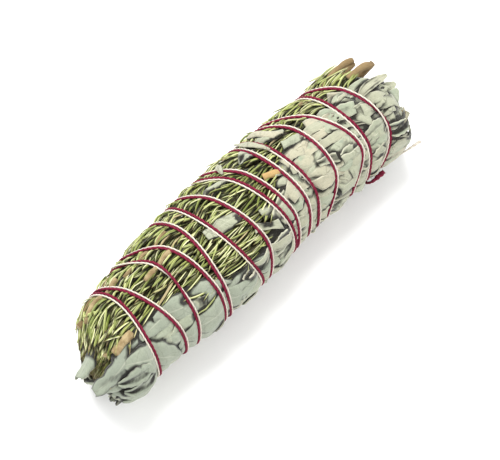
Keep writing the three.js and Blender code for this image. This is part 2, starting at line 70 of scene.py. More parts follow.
# Where each turn of thread crosses four lines along the bundle, from the -X end to the +X end
TURN_ANGLES = [-65, -15, 45, 95]
TURNS = [
    [-68.8, -66.6, -70.4, -72.5],
    [-65.6, -59.8, -55.0, -55.6],
    [-53.4, -43.6, -44.8, -48.5],
    [-46.5, -33.8, -30.8, -32.6],
    [-26.0, -23.5, -26.9, -29.2],
    [-16.9, -15.0, -11.7, -9.0],
    [-9.4, -2.5, 1.4, -3.0],
    [1.5, 10.2, 14.8, 13.0],
    [7.5, 16.1, 19.9, 16.4],
    [25.0, 27.2, 28.6, 23.8],
    [29.3, 32.9, 34.0, 30.0],
    [40.5, 48.1, 47.7, 36.5],
    [44.4, 58.2, 64.5, 52.5],
    [64.8, 67.3, 67.8, 62.0],
    [69.4, 78.1, 80.6, 71.0],
]
# Both ends of the turns: an angle, counted on from the first turn, and X
THREAD_START = (-150, -75)
THREAD_END = (5160, 69)
# Where the two threads change places: the turn, and the angle on it
SWAPS = [
    (0, 235), (2, -60), (2, 10), (4, 235), (5, 235), (6, 235), (7, 235),
    (9, 235), (10, 40), (12, 235), (13, 235), (14, 25),
]
SWAP_SPREAD = 60  # they take this many degrees over it
THREAD_STEP = math.degrees(0.5 / 27)  # between the points of a thread
LOWEST = 0.35  # no leaf's middle lies lower
CRIMSON_RADIUS = 0.72
CREAM_RADIUS = 0.45
THREAD_SPACING = 1.2
THREAD_SINK = 0.40
# The free ends, as X, angle and radius
CRIMSON_TAIL = [
    (70.3, 126, 26.0), (68, 131, 26.4), (65, 128, 26.4), (63.6, 118, 26.6), (64.2, 109, 27.0),
    (66.5, 104.5, 27.1), (71, 101.5, 27.2),
]
CREAM_TAIL = [
    (69.4, 125, 24.8), (73, 127, 25.0), (80, 120, 26.0), (87.5, 111, 27.2), (94.8, 105.5, 28.6),
]
TAIL_STEP = 0.4

# How the leaves lie
LITTER = 6.5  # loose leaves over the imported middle, from the threads' outside inwards
PUFF = 0.55  # leaves between the turns stand this far outside the threads
BITE = 1.15  # and under a thread they lie this far inside its outside
SQUEEZE = 2.3  # reach of a thread's squeeze to either side
OVER_THREADS = 1.3
NEAR_TURN = -87.0  # from about here the leaves bend on their own at the free end
FAR_TURN = 87.0
END_SLOPE = 0.4
CLOSEST = 0.5  # nothing lies nearer to the bundle's middle line

# The photograph's view
VIEW_AZIMUTH = -47.1
VIEW_ELEVATION = 67.3
VIEW_DISTANCE = 1.2
VIEW_WIDTH = 0.228  # seen at the bundle, across the picture's 500 pixels
PICTURE_WIDTH = 500
PICTURE_HEIGHT = 460
BUNDLE_PIXEL = (234.5, 231.0)  # the bundle's middle in the picture
BUNDLE_MIDDLE = (0.0, 1.4, 26.6)

random = np.random.RandomState(2024)
uniform, normal = random.uniform, random.normal


def smooth(xs, ys, x):
    """A smooth curve through points, its slope at each taken from the two neighbours."""
    xs = np.asarray(xs, float)
    ys = np.asarray(ys, float)
    index = np.arange(len(xs))
    low = np.maximum(index - 1, 0)
    high = np.minimum(index + 1, len(xs) - 1)
    slopes = (ys[high] - ys[low]) / (xs[high] - xs[low])
    x = np.clip(x, xs[0], xs[-1])
    i = np.clip(np.searchsorted(xs, x, side="right") - 1, 0, len(xs) - 2)
    h = xs[i + 1] - xs[i]
    t = (x - xs[i]) / h
    return (
        (2 * t**3 - 3 * t**2 + 1) * ys[i]
        + (t**3 - 2 * t**2 + t) * h * slopes[i]
        + (3 * t**2 - 2 * t**3) * ys[i + 1]
        + (t**3 - t**2) * h * slopes[i + 1]
    )


def smooth_line(knots, points, at):
    """Points on a smooth curve through others."""
    return np.column_stack([smooth(knots, points[:, i], at) for i in range(3)])


def gone_along(line):
    """The way gone along a line of points, at each of them."""
    return np.concatenate([[0], np.cumsum(np.linalg.norm(np.diff(line, axis=0), axis=1))])


def step(low, high, x):
    """0 below low, 1 above high, and smooth between."""
    t = np.clip((x - low) / (high - low), 0, 1)
    return t * t * (3 - 2 * t)


def leaf_radius(x, angle):
    """The outermost leaves' radius, before the threads press on them."""
    upper = np.clip(np.cos(np.radians(angle - TOP_ANGLE)), 0, 1)
    trim = END_TRIM * step(*END_TRIM_X, x) + TOP_TRIM * upper * step(*TOP_TRIM_X, x)
    return smooth(RADIUS_X, RADIUS_R, x) - trim


def above_surface(radius, angle):
    """A radius, kept short of the surface that the bundle lies on."""
    down = np.maximum(-np.cos(np.radians(angle)), 1e-3)
    return np.minimum(radius, (AXIS_HEIGHT - THREAD_LIFT) / down)


def in_space(x, angle, radius, sideways=0.0):
    """Points in metres from X, an angle round the bundle, and a radius and an arm square to it."""
    a = np.radians(angle)
    drift = sum(far * step(start, end, np.asarray(x)) for far, start, end in BENDS)
    y = AXIS_Y - drift - radius * np.sin(a) - sideways * np.cos(a)
    z = np.maximum(AXIS_HEIGHT + radius * np.cos(a) - sideways * np.sin(a), LOWEST)
    return np.stack(np.broadcast_arrays(x, y, z), axis=-1) * MM


# The threads' route

TURNED = [360 * turn + angle for turn in range(len(TURNS)) for angle in TURN_ANGLES]
ROUTE_ANGLES, ROUTE_X = zip(THREAD_START, *zip(TURNED, sum(TURNS, [])), THREAD_END)
FAR_AWAY = 1e3  # in place of a turn that isn't there


def turn_table():
    """For each whole degree round the bundle, where the turns of thread cross there."""
    degrees = np.arange(360.0)
    columns = []
    for turn in range(-1, len(TURNS) + 1):
        turned = degrees + 360 * turn
        x = smooth(ROUTE_ANGLES, ROUTE_X, turned)
        there = (turned >= ROUTE_ANGLES[0]) & (turned <= ROUTE_ANGLES[-1])
        columns.append(np.where(there, x, FAR_AWAY))
    return np.stack(columns, axis=-1)


TURN_TABLE = turn_table()


def thread_gap(x, angle):
    """Distance along X to the nearest turn of thread."""
    here = TURN_TABLE[np.round(angle).astype(int) % 360]
    return np.min(np.abs(here - x[..., None]), axis=-1)


def twist(turned):
    """How far the pair of threads has turned about its own middle, in radians."""
    total = np.zeros_like(turned)
    for turn, at in SWAPS:
        total += 180 * np.clip((turned - 360 * turn - at) / SWAP_SPREAD + 0.5, 0, 1)
    return np.radians(total)


def thread_line(side):
    """The middle of one thread as points in metres, side -1 or 1 across the pair."""
    turned = np.arange(ROUTE_ANGLES[0], ROUTE_ANGLES[-1], THREAD_STEP)
    x = smooth(ROUTE_ANGLES, ROUTE_X, turned)
    roll = twist(turned)
    half = THREAD_SPACING / 2
    lift = half * (np.abs(np.sin(roll)) + side * np.sin(roll))
    radius = above_surface(smooth(RADIUS_X, RADIUS_R, x), turned) - THREAD_SINK + lift
    return in_space(x + side * half * np.cos(roll), turned, radius)


# Laying leaves on the bundle

def packed(x, angle, depth):
    """Radius at a depth: pinched under the threads, puffed out between them, flat underneath."""
    squeezed = np.exp(-((thread_gap(x, angle) / SQUEEZE) ** 2))
    top = PUFF - (PUFF + BITE) * squeezed
    outside = above_surface(leaf_radius(x, angle) + top, angle)
    depth = np.where(depth < 0, depth * (1 - squeezed), depth)
    return np.maximum(outside - (top + LITTER) * depth / (LITTER + PUFF), CLOSEST)


def straight(x, angle, depth):
    """Points in metres in the bundle, where what lies there runs straight out at the ends."""
    x, angle, depth = np.broadcast_arrays(x, angle, depth)
    return in_space(x, angle, packed(x, angle, depth))


def lay(run, angle, depth, leaf):
    """Points in metres of leaves on the bundle, which bend their own way past the free ends."""
    side = np.sign(run)
    start = np.where(side < 0, NEAR_TURN, FAR_TURN) + leaf.shift
    past = np.maximum(side * (run - start), 0)
    x = np.where(past > 0, start, run)
    over = leaf_radius(x, angle) + OVER_THREADS - depth
    radius = np.where(leaf.over > 0, over, packed(x, angle, depth))
    base = leaf_radius(start, leaf.angle)
    bend = leaf.limit - END_SLOPE
    turned = np.sign(bend) * np.minimum(past / leaf.round, np.abs(bend))
    onward = past - np.abs(turned) * leaf.round
    reach = np.sign(bend) * leaf.round
    slope = END_SLOPE + turned
    off = np.radians(angle - leaf.angle)
    above = radius * np.cos(off) - base
    up = base + reach * (np.cos(slope) - math.cos(END_SLOPE)) - onward * np.sin(slope)
    out = reach * (np.sin(slope) - math.sin(END_SLOPE)) + onward * np.cos(slope)
    up = up + above * np.cos(turned)
    out = np.where(past > 0, out + above * np.sin(turned), 0)
    return in_space(x + side * out, leaf.angle, up, radius * np.sin(off))


def unit(vectors):
    return vectors / np.maximum(np.linalg.norm(vectors, axis=-1, keepdims=True), 1e-12)


# Meshes

def placed(name, data):
    """An object in the scene, at the origin."""
    made = bpy.data.objects.new(name, data)
    bpy.context.scene.collection.objects.link(made)
    return made


def mesh_from(bm, name):
    mesh = bpy.data.meshes.new(name)
    bm.to_mesh(mesh)
    bm.free()
    return mesh


def new_piece(name, mesh, material, nodes):
    """A finished piece, riding on the bundle, in place of its solids."""
    mesh.polygons.foreach_set("use_smooth", [True] * len(mesh.polygons))
    mesh.materials.append(material)
    piece = placed(name, mesh)
    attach(piece, "root")
    if nodes:
        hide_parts(*nodes)
    return piece


def copies(name, template, count):
    """A mesh that holds a number of copies of a small template, one after another."""
    bm = bmesh.new()
    for _ in range(count):
        bm.from_mesh(template)
    return mesh_from(bm, name)


def shape(mesh, points):
    mesh.vertices.foreach_set("co", np.ascontiguousarray(points, np.float32).ravel())
    mesh.update()


def paint(mesh, name, *values):
    """Keeps four numbers for each vertex, for the piece's material."""
    layer = mesh.attributes.new(name, "FLOAT_COLOR", "POINT")
    numbers = np.stack(np.broadcast_arrays(*values), axis=-1)
    layer.data.foreach_set("color", np.ascontiguousarray(numbers, np.float32).ravel())


def corners_of(template):
    """The places of a template's corners, and its X, and angle and distance from its X line."""
    points = np.zeros(len(template.vertices) * 3, np.float32)
    template.vertices.foreach_get("co", points)
    points = points.reshape(-1, 3).astype(float)
    turn = np.arctan2(points[:, 2], points[:, 1])
    return points, points[:, 0], turn, np.hypot(points[:, 1], points[:, 2])


def sheet_template(along, across):
    """A flat sheet from x = 0 to 1 along and y = -1 to 1 across."""
    bm = bmesh.new()
    bmesh.ops.create_grid(bm, x_segments=along, y_segments=across, size=1)
    bmesh.ops.scale(bm, vec=(0.5, 1, 1), verts=bm.verts)
    bmesh.ops.translate(bm, vec=(0.5, 0, 0), verts=bm.verts)
    return mesh_from(bm, "sheet")


def rod_template(corners, spans):
    """A closed rod of radius 1 that runs from x = 0 to 1, with flat ends."""
    bm = bmesh.new()
    bmesh.ops.create_circle(bm, cap_ends=True, segments=corners, radius=1)
    face = bm.faces[:][0]
    for span in range(spans):
        grown = bmesh.ops.extrude_face_region(bm, geom=[face])["geom"]
        if span:
            bmesh.ops.delete(bm, geom=[face], context="FACES_ONLY")
        face = next(g for g in grown if isinstance(g, bmesh.types.BMFace))
        ring = [g for g in grown if isinstance(g, bmesh.types.BMVert)]
        bmesh.ops.translate(bm, vec=(0, 0, 1 / spans), verts=ring)
    bmesh.ops.recalc_face_normals(bm, faces=bm.faces)
    mesh = mesh_from(bm, "rod")
    shape(mesh, corners_of(mesh)[0][:, [2, 0, 1]])
    return mesh


# Spreading things evenly over a window of the bundle

EVEN_PACES = (0.7548776662, 0.5698402910)
SPREAD_APART = 1000  # the pieces' spreads start this far apart


def spread(count, start):
    """Pairs of numbers from 0 to 1 that fill their square evenly."""
    i = np.arange(count) + start
    return [(i * pace) % 1 for pace in EVEN_PACES]


# Light between the leaves: a map of the highest leaf over each place on the bundle

CELL = 0.6
MAP_START = -125.0
MAP_CELLS = (420, 262)  # along the bundle and round it
LEAF_TOPS = np.full(MAP_CELLS, -LITTER)
NEEDLE_LOOKS = [0.7, 1.3, 2.2]  # how far round a point the leaves may shade it
SAGE_LOOKS = [0.7, 1.2]
SAGE_WORST = 0.5  # the steepest side's share in a sage leaf's shade
LOOK_WAYS = 8


def cells(run, angle):
    i = ((run - MAP_START) / CELL).astype(int)
    j = np.round((angle % 360) / 360 * MAP_CELLS[1]).astype(int) % MAP_CELLS[1]
    return np.clip(i, 0, MAP_CELLS[0] - 1), j


def add_to_map(run, angle, depth):
    run, angle, depth = np.broadcast_arrays(run, angle, depth)
    np.maximum.at(LEAF_TOPS, cells(run, angle), -depth)


def close_map():
    """Widens each top by a cell, so that no holes are left between a leaf's points."""
    for axis in (0, 1):
        sides = [np.roll(LEAF_TOPS, way, axis) for way in (-1, 1)]
        LEAF_TOPS[:] = np.maximum(LEAF_TOPS, np.maximum(*sides))


def openness(run, angle, depth, looks, worst_share=0.0):
    """1 in the open and 0 in a deep crevice, from how steeply the leaves rise all round, and for
    a share of it from where they rise the steepest."""
    run, angle, depth = np.broadcast_arrays(run, angle, depth)
    blocked = np.zeros(run.shape)
    worst = np.zeros(run.shape)
    for way in np.arange(LOOK_WAYS) * 2 * math.pi / LOOK_WAYS:
        steepest = np.zeros(run.shape)
        for far in looks:
            there = cells(run + far * math.cos(way), angle + far * math.sin(way) * DEGREES_PER_MM)
            steepest = np.maximum(steepest, (LEAF_TOPS[there] + depth) / far)
        hidden = steepest / np.sqrt(1 + steepest**2)
        blocked += hidden / LOOK_WAYS
        worst = np.maximum(worst, hidden)
    return 1 - ((1 - worst_share) * blocked + worst_share * worst)


# Rosemary

# Angles and X that each sprig's leaves fill, and how many there are
ROSEMARY = [
    (-122, -84, -90, 90, 740),
    (-84, -47, -90, 90, 840),
    (-47, -10, -90, 90, 840),
    (-10, 27, -90, 34, 660),
    (23, 60, -48, 26, 350),
]
# Along X, the angle where the rosemary ends and the sage begins
EDGE_X = [-100, -54, -42, -10, 2, 12, 20, 28, 36, 100]
EDGE_ANGLE = [23, 25, 52, 56, 50, 36, 20, 2, -8, -8]
NEEDLE_DRAW = 46
NEEDLE_CORNERS = 6
NEEDLE_SPANS = 5
# Across a needle, a shallow channel between its two rolled edges
NEEDLE_SIDE = [0.62, 0.0, -0.62, -1.0, 0.0, 1.0]
NEEDLE_RISE = [0.62, 0.26, 0.62, 0.0, -0.6, 0.0]
NEEDLE_LAYERS = [0.0, 0.8, 1.7, 3.2]
NEEDLE_LENGTHS = (7, 16)
NEEDLE_HALF_WIDTHS = (0.4, 0.66)
LAST_ROOT = 84  # no needle starts further along, but for a few millimetres
FIRST_TIP = -103
LOOSE_X = (-62, -76)  # towards the near end the needles stand more and more apart
THINNED_X = (-74, -88)  # and some are left out
BRUSH_DEPTH = 18.0  # at the tip, the needles fill the sprig down to here
BRUSH_ROOTS = (-86, -74)
BRUSH_TIP = -93  # the deepest reach to here, and the outer ones up to 8 less
STRAY_LIFT = 1.9
STRAY_SHARE = 0.09
TUFT_LENGTH = 13.0
TUFT_ANGLE = 17.0
TUFT_START = -110
TUFTS = normal(0, 10, (30, 30))  # how far each tuft of needles is turned, in degrees


def drawn_needles(number, window):
    """A sprig's needles, with what is drawn for each by lot."""
    low, high, start, end, count = window
    u, v = spread(count, SPREAD_APART * number)
    root = start + 6 + (end - start + 4) * u
    angle = low + (high - low) * v
    length = uniform(*NEEDLE_LENGTHS, count)
    free = step(*LOOSE_X, root)
    tuft_along = ((root - TUFT_START) / TUFT_LENGTH + angle / 40).astype(int)
    tuft = TUFTS[tuft_along, (angle / TUFT_ANGLE).astype(int)]
    heading = np.radians(tuft + normal(0, 9 + 9 * free, count))
    layer = np.arange(count) % len(NEEDLE_LAYERS)
    deep = np.array(NEEDLE_LAYERS)[layer] + uniform(-0.2, 0.7, count)
    brush = (np.arange(count) % 4 == 1) & (start < NEAR_TURN)
    deep = np.where(brush, uniform(0, 1, count) ** 1.2 * BRUSH_DEPTH, deep)
    root = np.where(brush, uniform(*BRUSH_ROOTS, count), root)
    tip = BRUSH_TIP + 8 * np.exp(-deep / 4) - 3.5 * random.random(count)
    ends = brush | (root - length < tip)
    length = np.where(ends, np.maximum(root - tip, 4), length)
    root = np.minimum(root, LAST_ROOT + 5 * random.random(count))
    needles = dict(
        root=root,
        angle=angle,
        length=length,
        heading=np.where(brush, heading * 0.7, heading),
        bend=normal(0, 0.9, count),
        deep=deep,
        dive=uniform(-0.4, 2.0, count),
        stray=STRAY_LIFT * (random.random(count) < STRAY_SHARE + 0.25 * free) * ~brush,
        width=uniform(*NEEDLE_HALF_WIDTHS, count) * (1 + 0.25 * free),
        roll=np.radians(normal(0, 30, count) + 180 * (random.random(count) < 0.35)),
        tone=random.random(count),
        dried=random.random(count),
        brush=ends * 1.0,
    )
    edge = smooth(EDGE_X, EDGE_ANGLE, root - length / 2) + normal(0, 3.5, count)
    thinned = random.random(count) < 0.5 * step(*THINNED_X, root)
    kept = (angle < edge) & (root - length > FIRST_TIP) & ~thinned
    return SimpleNamespace(**{name: values[kept, None] for name, values in needles.items()})


def needle_route(needle, t):
    """Run, angle and depth of needles, a share t of the way from the root to the tip."""
    far = needle.length * t
    sideways = far * np.sin(needle.heading) + needle.bend * t**2
    depth = needle.deep + needle.dive * np.maximum(1 - t, 0) ** 1.5 - needle.stray * t**2
    run = needle.root - far * np.cos(needle.heading)
    return run, needle.angle + DEGREES_PER_MM * sideways, depth


def beside(needle, t, side, rise):
    """Points to the side of a needle's route and above it, in millimetres from it."""
    run, angle, depth = needle_route(needle, t)
    centre = straight(run, angle, depth)
    ahead = straight(*needle_route(needle, t + 0.02)) - straight(*needle_route(needle, t - 0.02))
    up = straight(run, angle, depth - 0.8) - centre
    across = unit(np.cross(up, ahead))
    up = unit(np.cross(ahead, across))
    return centre + (across * side[..., None] + up * rise[..., None]) * MM


def rosemary_needles(number, needle, material):
    """A sprig's needles as one piece, painted with their tone and with the light on them."""
    template = rod_template(NEEDLE_CORNERS, NEEDLE_SPANS)
    _, share, turn, _ = corners_of(template)
    t = share[None, :] + 0 * needle.root
    corner = np.round(np.degrees(turn) / (360 / NEEDLE_CORNERS)).astype(int) % NEEDLE_CORNERS
    across = np.array(NEEDLE_SIDE)[corner]
    above = np.array(NEEDLE_RISE)[corner]
    taper = (0.45 + 0.55 * step(0, 0.2, t)) * (1 - 0.78 * step(0.72, 1.0, t))
    roll = needle.roll
    side = needle.width * taper * (across * np.cos(roll) - above * np.sin(roll))
    rise = needle.width * taper * (across * np.sin(roll) + above * np.cos(roll))
    mesh = copies(f"rosemary_{number}", template, len(roll))
    shape(mesh, beside(needle, t, side, rise))
    run, angle, depth = needle_route(needle, t)
    # Painted light and shade: lit is lighter on a needle's upper side, clear darker in the crevices
    # between needles, and the brush's deep needles stay lighter near their free tips
    lit = np.clip(0.5 + rise / (2 * needle.width), 0, 1)
    clear = openness(run, angle, depth - rise, NEEDLE_LOOKS)
    free = step(9, 1, needle.length * (1 - t)) * needle.brush
    clear = np.where(needle.deep > 3, np.maximum(clear, 0.2 + 0.8 * free), clear)
    paint(mesh, "needle", needle.tone, needle.dried, 0.5 + 0.5 * above, across * 0.5 + 0.5)
    paint(mesh, "shade", lit, clear, t, needle.tone)
    name = f"rosemary_needles_{number}"
    new_piece(name + "_fine", mesh, material, [name])


# Sage

# Angles and X that each sprig's leaves fill, how many they are, how many turn in at each end, and
# the number that they are drawn by
SAGE = [
    (52, 105, -84, 84, 64, 1, 8, 311),
    (105, 155, -84, 84, 40, 5, 6, 12),
    (155, 201, -84, 84, 34, 5, 5, 13),
    (201, 241, -84, 84, 34, 5, 5, 14),
    (-8, 24, 32, 84, 23, 0, 6, 315),
    (24, 54, 22, 84, 26, 0, 6, 316),
    (28, 54, -84, -48, 6, 0, 0, 317),
]
INNER_DRAW = 321
BIT_DRAW = 322
NEAR_DRAW = 23
FAR_DRAW = 24
LOOSE_DRAW = 25
SHOWN_GRID = (28, 14)
LEAF_GRID = (18, 10)
BIT_GRID = (9, 6)
LEAF_THICKNESS = 0.6
SAGE_LAYERS = [0.0, 0.7, 1.5]
PIECE_X = [-100, -60, 0, 40, 100]  # towards the far end the leaves are more broken
PIECE_LENGTH = [44, 42, 34, 27, 24]
PIECE_HALF_WIDTH = [10.5, 9.5, 7.5, 6.4, 5.6]
FACETS = [(0.5, 7.0), (1.6, 9.5), (2.7, 13.0)]  # a crumpled leaf's creases: their way and spacing
HIDDEN_SPRIGS = (2, 3, 4, 7)
# Leaves that turn in at each free end: where, their way, how far they reach and how much less on
# the low side, how steeply, how cupped, the torn share, half width, and what is their own
TURNING_IN = [
    (NEAR_TURN, -1, (8, 14), 3, (0.5, 1.2), 0.0, 0.0, (6, 9.5), {}),
    (FAR_TURN - 3, 1, (5, 11), 5, (0.1, 0.6), 0.4, 0.6, (3.5, 6.5), dict(open=0.75, opens=-2.0)),
]
LOW_SIDE = (40, 190)
# Leaves inside each open end: X, way, how many, smallest radius, first angle, the angles they fill,
# how far they reach, and what is their own
INNER_ENDS = [
    (NEAR_TURN, -1, 11, 14, 30, 205, (5, 9), dict(open=0.4)),
    (FAR_TURN, 1, 48, 3, -20, 255, (2, 8), dict(open=0.85, opens=-5.0)),
]
INNER_RADIUS = 20
WHOLE_RING = 14  # within this radius they stand all the way round
GOLDEN_ANGLE = 137.5
BIT_COUNT = 120
BITS_SPREAD = 7000
BITS_X = (-50, 95)
HIGHEST = 1.8  # no leaf stands further outside
TUCKED = 3.8  # under the rosemary, the sage lies this deep

# Leaves that show in the photograph: run and angle of the root and of the tip, half width, depth
# and what is their own
NEAR_LEAVES = [
    ((-76, -30), (-101, -29), 10, 5, dict(round=40, limit=0.2, open=1.0, torn=0.6, frill=0.2)),
    ((-66, 32), (-103, 31), 8, 1.2,
     dict(limit=0.3, round=12, wave=1.1, open=0.5, tone=0.02, torn=0.4, frill=0.28)),
    ((-70, 52), (-103, 48), 8, 1.0,
     dict(limit=0.6, round=12, wave=0.9, open=0.55, cup=-0.5, frill=0.2)),
    ((-68, 80), (-100, 76), 8, 0.8, dict(limit=0.9, round=11, left_roll=0.4, open=0.5, wave=0.8)),
    ((-56, 98), (-95, 96), 9, 0.2, dict(limit=1.1, round=11, left_roll=2.2, open=0.6)),
    ((-76, 62), (-93, 46), 5.2, -0.3, dict(fold=0.5, limit=0.7, round=10, open=0.5)),
    ((-76, 78), (-93, 64), 5, -0.3, dict(fold=0.6, limit=0.9, round=10, open=0.4)),
    ((-62, 84), (-85, 24), 9.5, -0.5, dict(left_roll=1.2, right_roll=2.4)),
    ((-46, 32), (-72, 26), 7, 0.2, {}),
    ((-24, 56), (-62, 26), 8, -0.1, dict(right_roll=1.6)),
    ((-46, 74), (-76, 54), 7, 0.3, dict(left_roll=2.2)),
    ((-14, 70), (-60, 68), 9, -0.4, dict(right_roll=2.2)),
    ((-30, 92), (-62, 90), 7, 0.1, {}),
    ((2, 66), (-34, 60), 6, 0.4, dict(fold=0.4)),
    ((6, 84), (-32, 88), 7, -0.2, dict(fold=-0.4)),
]
FAR_LEAVES = [
    ((80, 12), (98, 14), 4.6, 2.5, dict(cup=3.0, limit=0.15, round=30, open=0.8)),
    ((80, 34), (97, 30), 5, 1.5, dict(cup=1.0, limit=0.3, round=12, open=0.7)),
    ((76, 52), (92, 56), 5, 1.0, dict(fold=1.0, limit=0.5, round=9, open=0.6)),
    ((79, 2), (97.5, 1), 3.8, -1.3, dict(cup=1.9, fold=0.8, limit=0.1, round=30, open=1.0)),
    ((48, -5), (37, -7), 3.0, -0.7, dict(right_roll=2.6, torn=0.7)),
    ((49, 19), (34, 16), 6.4, -0.3, dict(torn=0.8, tone=0.3)),
    ((60, -2), (48, -4), 3.2, -0.6, dict(torn=0.8)),
    ((64, 9), (49, 8), 2.6, -0.3, dict(torn=0.9)),
    ((64, 19), (49, 17), 2.9, -0.5, dict(torn=0.9)),
    ((63, 28), (49, 27), 2.7, -0.2, dict(torn=0.9)),
    ((61, 38), (49, 36), 2.6, -0.4, dict(torn=0.9)),
    ((64, 50), (48, 49), 4.2, -0.4, dict(tone=0.2)),
    ((61, 72), (45, 68), 3.2, -0.2, dict(tone=0.4)),
    ((73, -6), (74, 31), 3.9, -0.9, dict(tone=0.6, fold=-0.2)),
    ((81, -9), (69, -11), 2.7, -0.4, dict(tone=0.5)),
    ((82, 40), (68, 38), 4.0, -0.3, dict(fold=0.4, tone=0.5)),
    ((80, 53), (70, 56), 2.4, -0.2, dict(tone=0.3)),
    ((34, 8), (28, 34), 4.2, -0.3, dict(tone=0.3, torn=1.0)),
    ((26, 40), (14, 44), 4.6, -0.3, dict(tone=0.2, torn=0.7)),
]
# Loose leaves on the rosemary
LOOSE_LEAVES = [
    ((0, 12), (-19, 3), 3.8, -0.5, dict(cup=-0.3, tone=0.55, torn=0.5)),
    ((8, -25), (-7, -31), 3.2, -0.4, dict(tone=0.6, fold=-0.5)),
    ((28, -30), (18, -34), 3.2, -0.4, dict(tone=0.5, fold=0.4)),
    ((44, -24), (29, -36), 3.8, -0.6, dict(fold=-0.2, tone=0.6)),
]
# Leaves that lie over a thread
OVER_LEAVES = [
    ((27, -58), (32, -16), 1.9, 0.2, dict(over=1.0, tone=0.85)),
    ((34, -52), (40, -20), 4.0, -1.5, dict(tone=1.0, crumple=0.1, torn=0.8)),
    ((13, -46), (9, -38), 1.6, 0.3, dict(over=1.0, tone=0.9)),
]


def sage_leaf(root, tip, half_width, deep, own):
    """One leaf from its root to its tip, with what isn't its own drawn by lot.

    Its tip lies deep, and its root a dive deeper. Past a free end by its shift, it bends with a
    radius, round, up to a slope, limit. Under is 1 for a leaf that tucks under the rosemary, and
    over is 1 for one over the threads. Open is how light it stays past the end, from opens on.
    """
    sideways = (tip[1] - root[1]) / DEGREES_PER_MM
    along = abs(tip[0] - root[0])
    leaf = dict(
        root=root[0], angle=root[1], way=math.copysign(1, tip[0] - root[0]),
        length=math.hypot(along, sideways), heading=math.atan2(sideways, along),
        half_width=half_width, bend=normal(0, 1.2),
        left_roll=uniform(0.8, 2.4), right_roll=uniform(0.8, 2.4),
        cup=normal(-0.1, 0.2), lean=normal(0, 0.1), fold=0.0, torn=0.0,
        near_skew=uniform(-0.7, 0.7), far_skew=uniform(-0.7, 0.7), phase=random.random(),
        wave=uniform(0.15, 0.5), frill=0.1, crumple=0.35, deep=deep, dive=uniform(-0.6, 1.2),
        shift=uniform(-2, 3), round=10.0, limit=1.2, under=0.0, over=0.0,
        open=0.2, opens=1.0, tone=random.random(),
    )
    return leaf | own


def placed_leaves(leaves, draw, **shared):
    random.seed(draw)
    return [sage_leaf(*place, shared | own) for *place, own in leaves]


def sprig_leaves(number, window):
    """A sprig's leaves: in three layers along the bundle, and more that turn in at its ends."""
    low, high, start, end, count, near, far, draw = window
    random.seed(draw)
    u, v = spread(count, SPREAD_APART * (number + 0.5))
    leaves = []
    for i in range(count):
        x = start - 4 + (end - start + 8) * u[i]
        angle = low + (high - low) * v[i]
        broken = float(step(-30, 50, x))
        length = float(smooth(PIECE_X, PIECE_LENGTH, x)) * uniform(0.7, 1.25)
        half = float(smooth(PIECE_X, PIECE_HALF_WIDTH, x)) * uniform(0.7, 1.2)
        way = 1 if random.random() < 0.25 else -1
        turn = normal(0, 8 + 3 * broken)
        deep = SAGE_LAYERS[i % 3] + 0.9 * (1 - broken) + uniform(-0.3, 0.4)
        own = dict(
            crumple=uniform(0.05, 0.2) + 0.25 * broken * random.random(),
            fold=random.choice([0.0, 0.0, 0.4, -0.5]) * (0.2 + 0.3 * broken),
            left_roll=uniform(0.1, 2.0 - 1.3 * broken),
            right_roll=uniform(0.1, 2.0 - 1.3 * broken),
            cup=normal(-0.1, 0.2 - 0.12 * broken),
            wave=uniform(0.15, 0.5) * (1 - 0.6 * broken),
            torn=1.0 * (random.random() < 0.9 * broken),
            under=1.0,
            tone=0.6 * random.random() + 0.4 * broken,
        )
        root = x - way * length / 2
        tip = (root + way * length, angle + turn)
        leaves.append(sage_leaf((root, angle), tip, half, deep, own))
    for amount, rules in zip((near, far), TURNING_IN):
        turn_x, way, (least, most), less, limits, cupped, torn, halves, shared = rules
        for i in range(amount):
            angle = low + (high - low) * (i + uniform(0.1, 0.9)) / amount
            reach = uniform(least, most - less * (LOW_SIDE[0] < angle < LOW_SIDE[1]))
            root = (turn_x - way * uniform(8, 18), angle)
            deep = uniform(0.0, 3.0)
            own = dict(
                round=uniform(6, 13),
                limit=uniform(*limits),
                cup=uniform(-0.3, 0.7) + cupped,
                fold=random.choice([0.0, 0.0, 0.5, -0.5]),
                crumple=uniform(0.05, 0.3),
                torn=1.0 * bool(torn and random.random() < torn),
                under=1.0,
            )
            half = uniform(*halves)
            tip = (turn_x + way * reach, angle + normal(0, 6))
            leaves.append(sage_leaf(root, tip, half, deep, own | shared))
    return leaves


def inner_leaves():
    """Leaves that stand in the open ends, inside the outer ones."""
    random.seed(INNER_DRAW)
    leaves = []
    for turn_x, way, count, smallest, first, span, reach, shared in INNER_ENDS:
        for i in range(count):
            radius = smallest + (INNER_RADIUS - smallest) * math.sqrt((i + 0.5) / count)
            angle = first + (GOLDEN_ANGLE * i) % (360 if radius < WHOLE_RING else span)
            tip = turn_x + way * uniform(*reach)
            half = min(uniform(3.5, 6) * MEAN_RADIUS / radius, INNER_RADIUS)
            own = dict(round=40.0, limit=0.2, cup=uniform(0.5, 2.5), crumple=0.6) | shared
            root = (turn_x - 8 * way, angle)
            leaves.append(sage_leaf(root, (tip, angle), half, MEAN_RADIUS - radius, own))
    return leaves


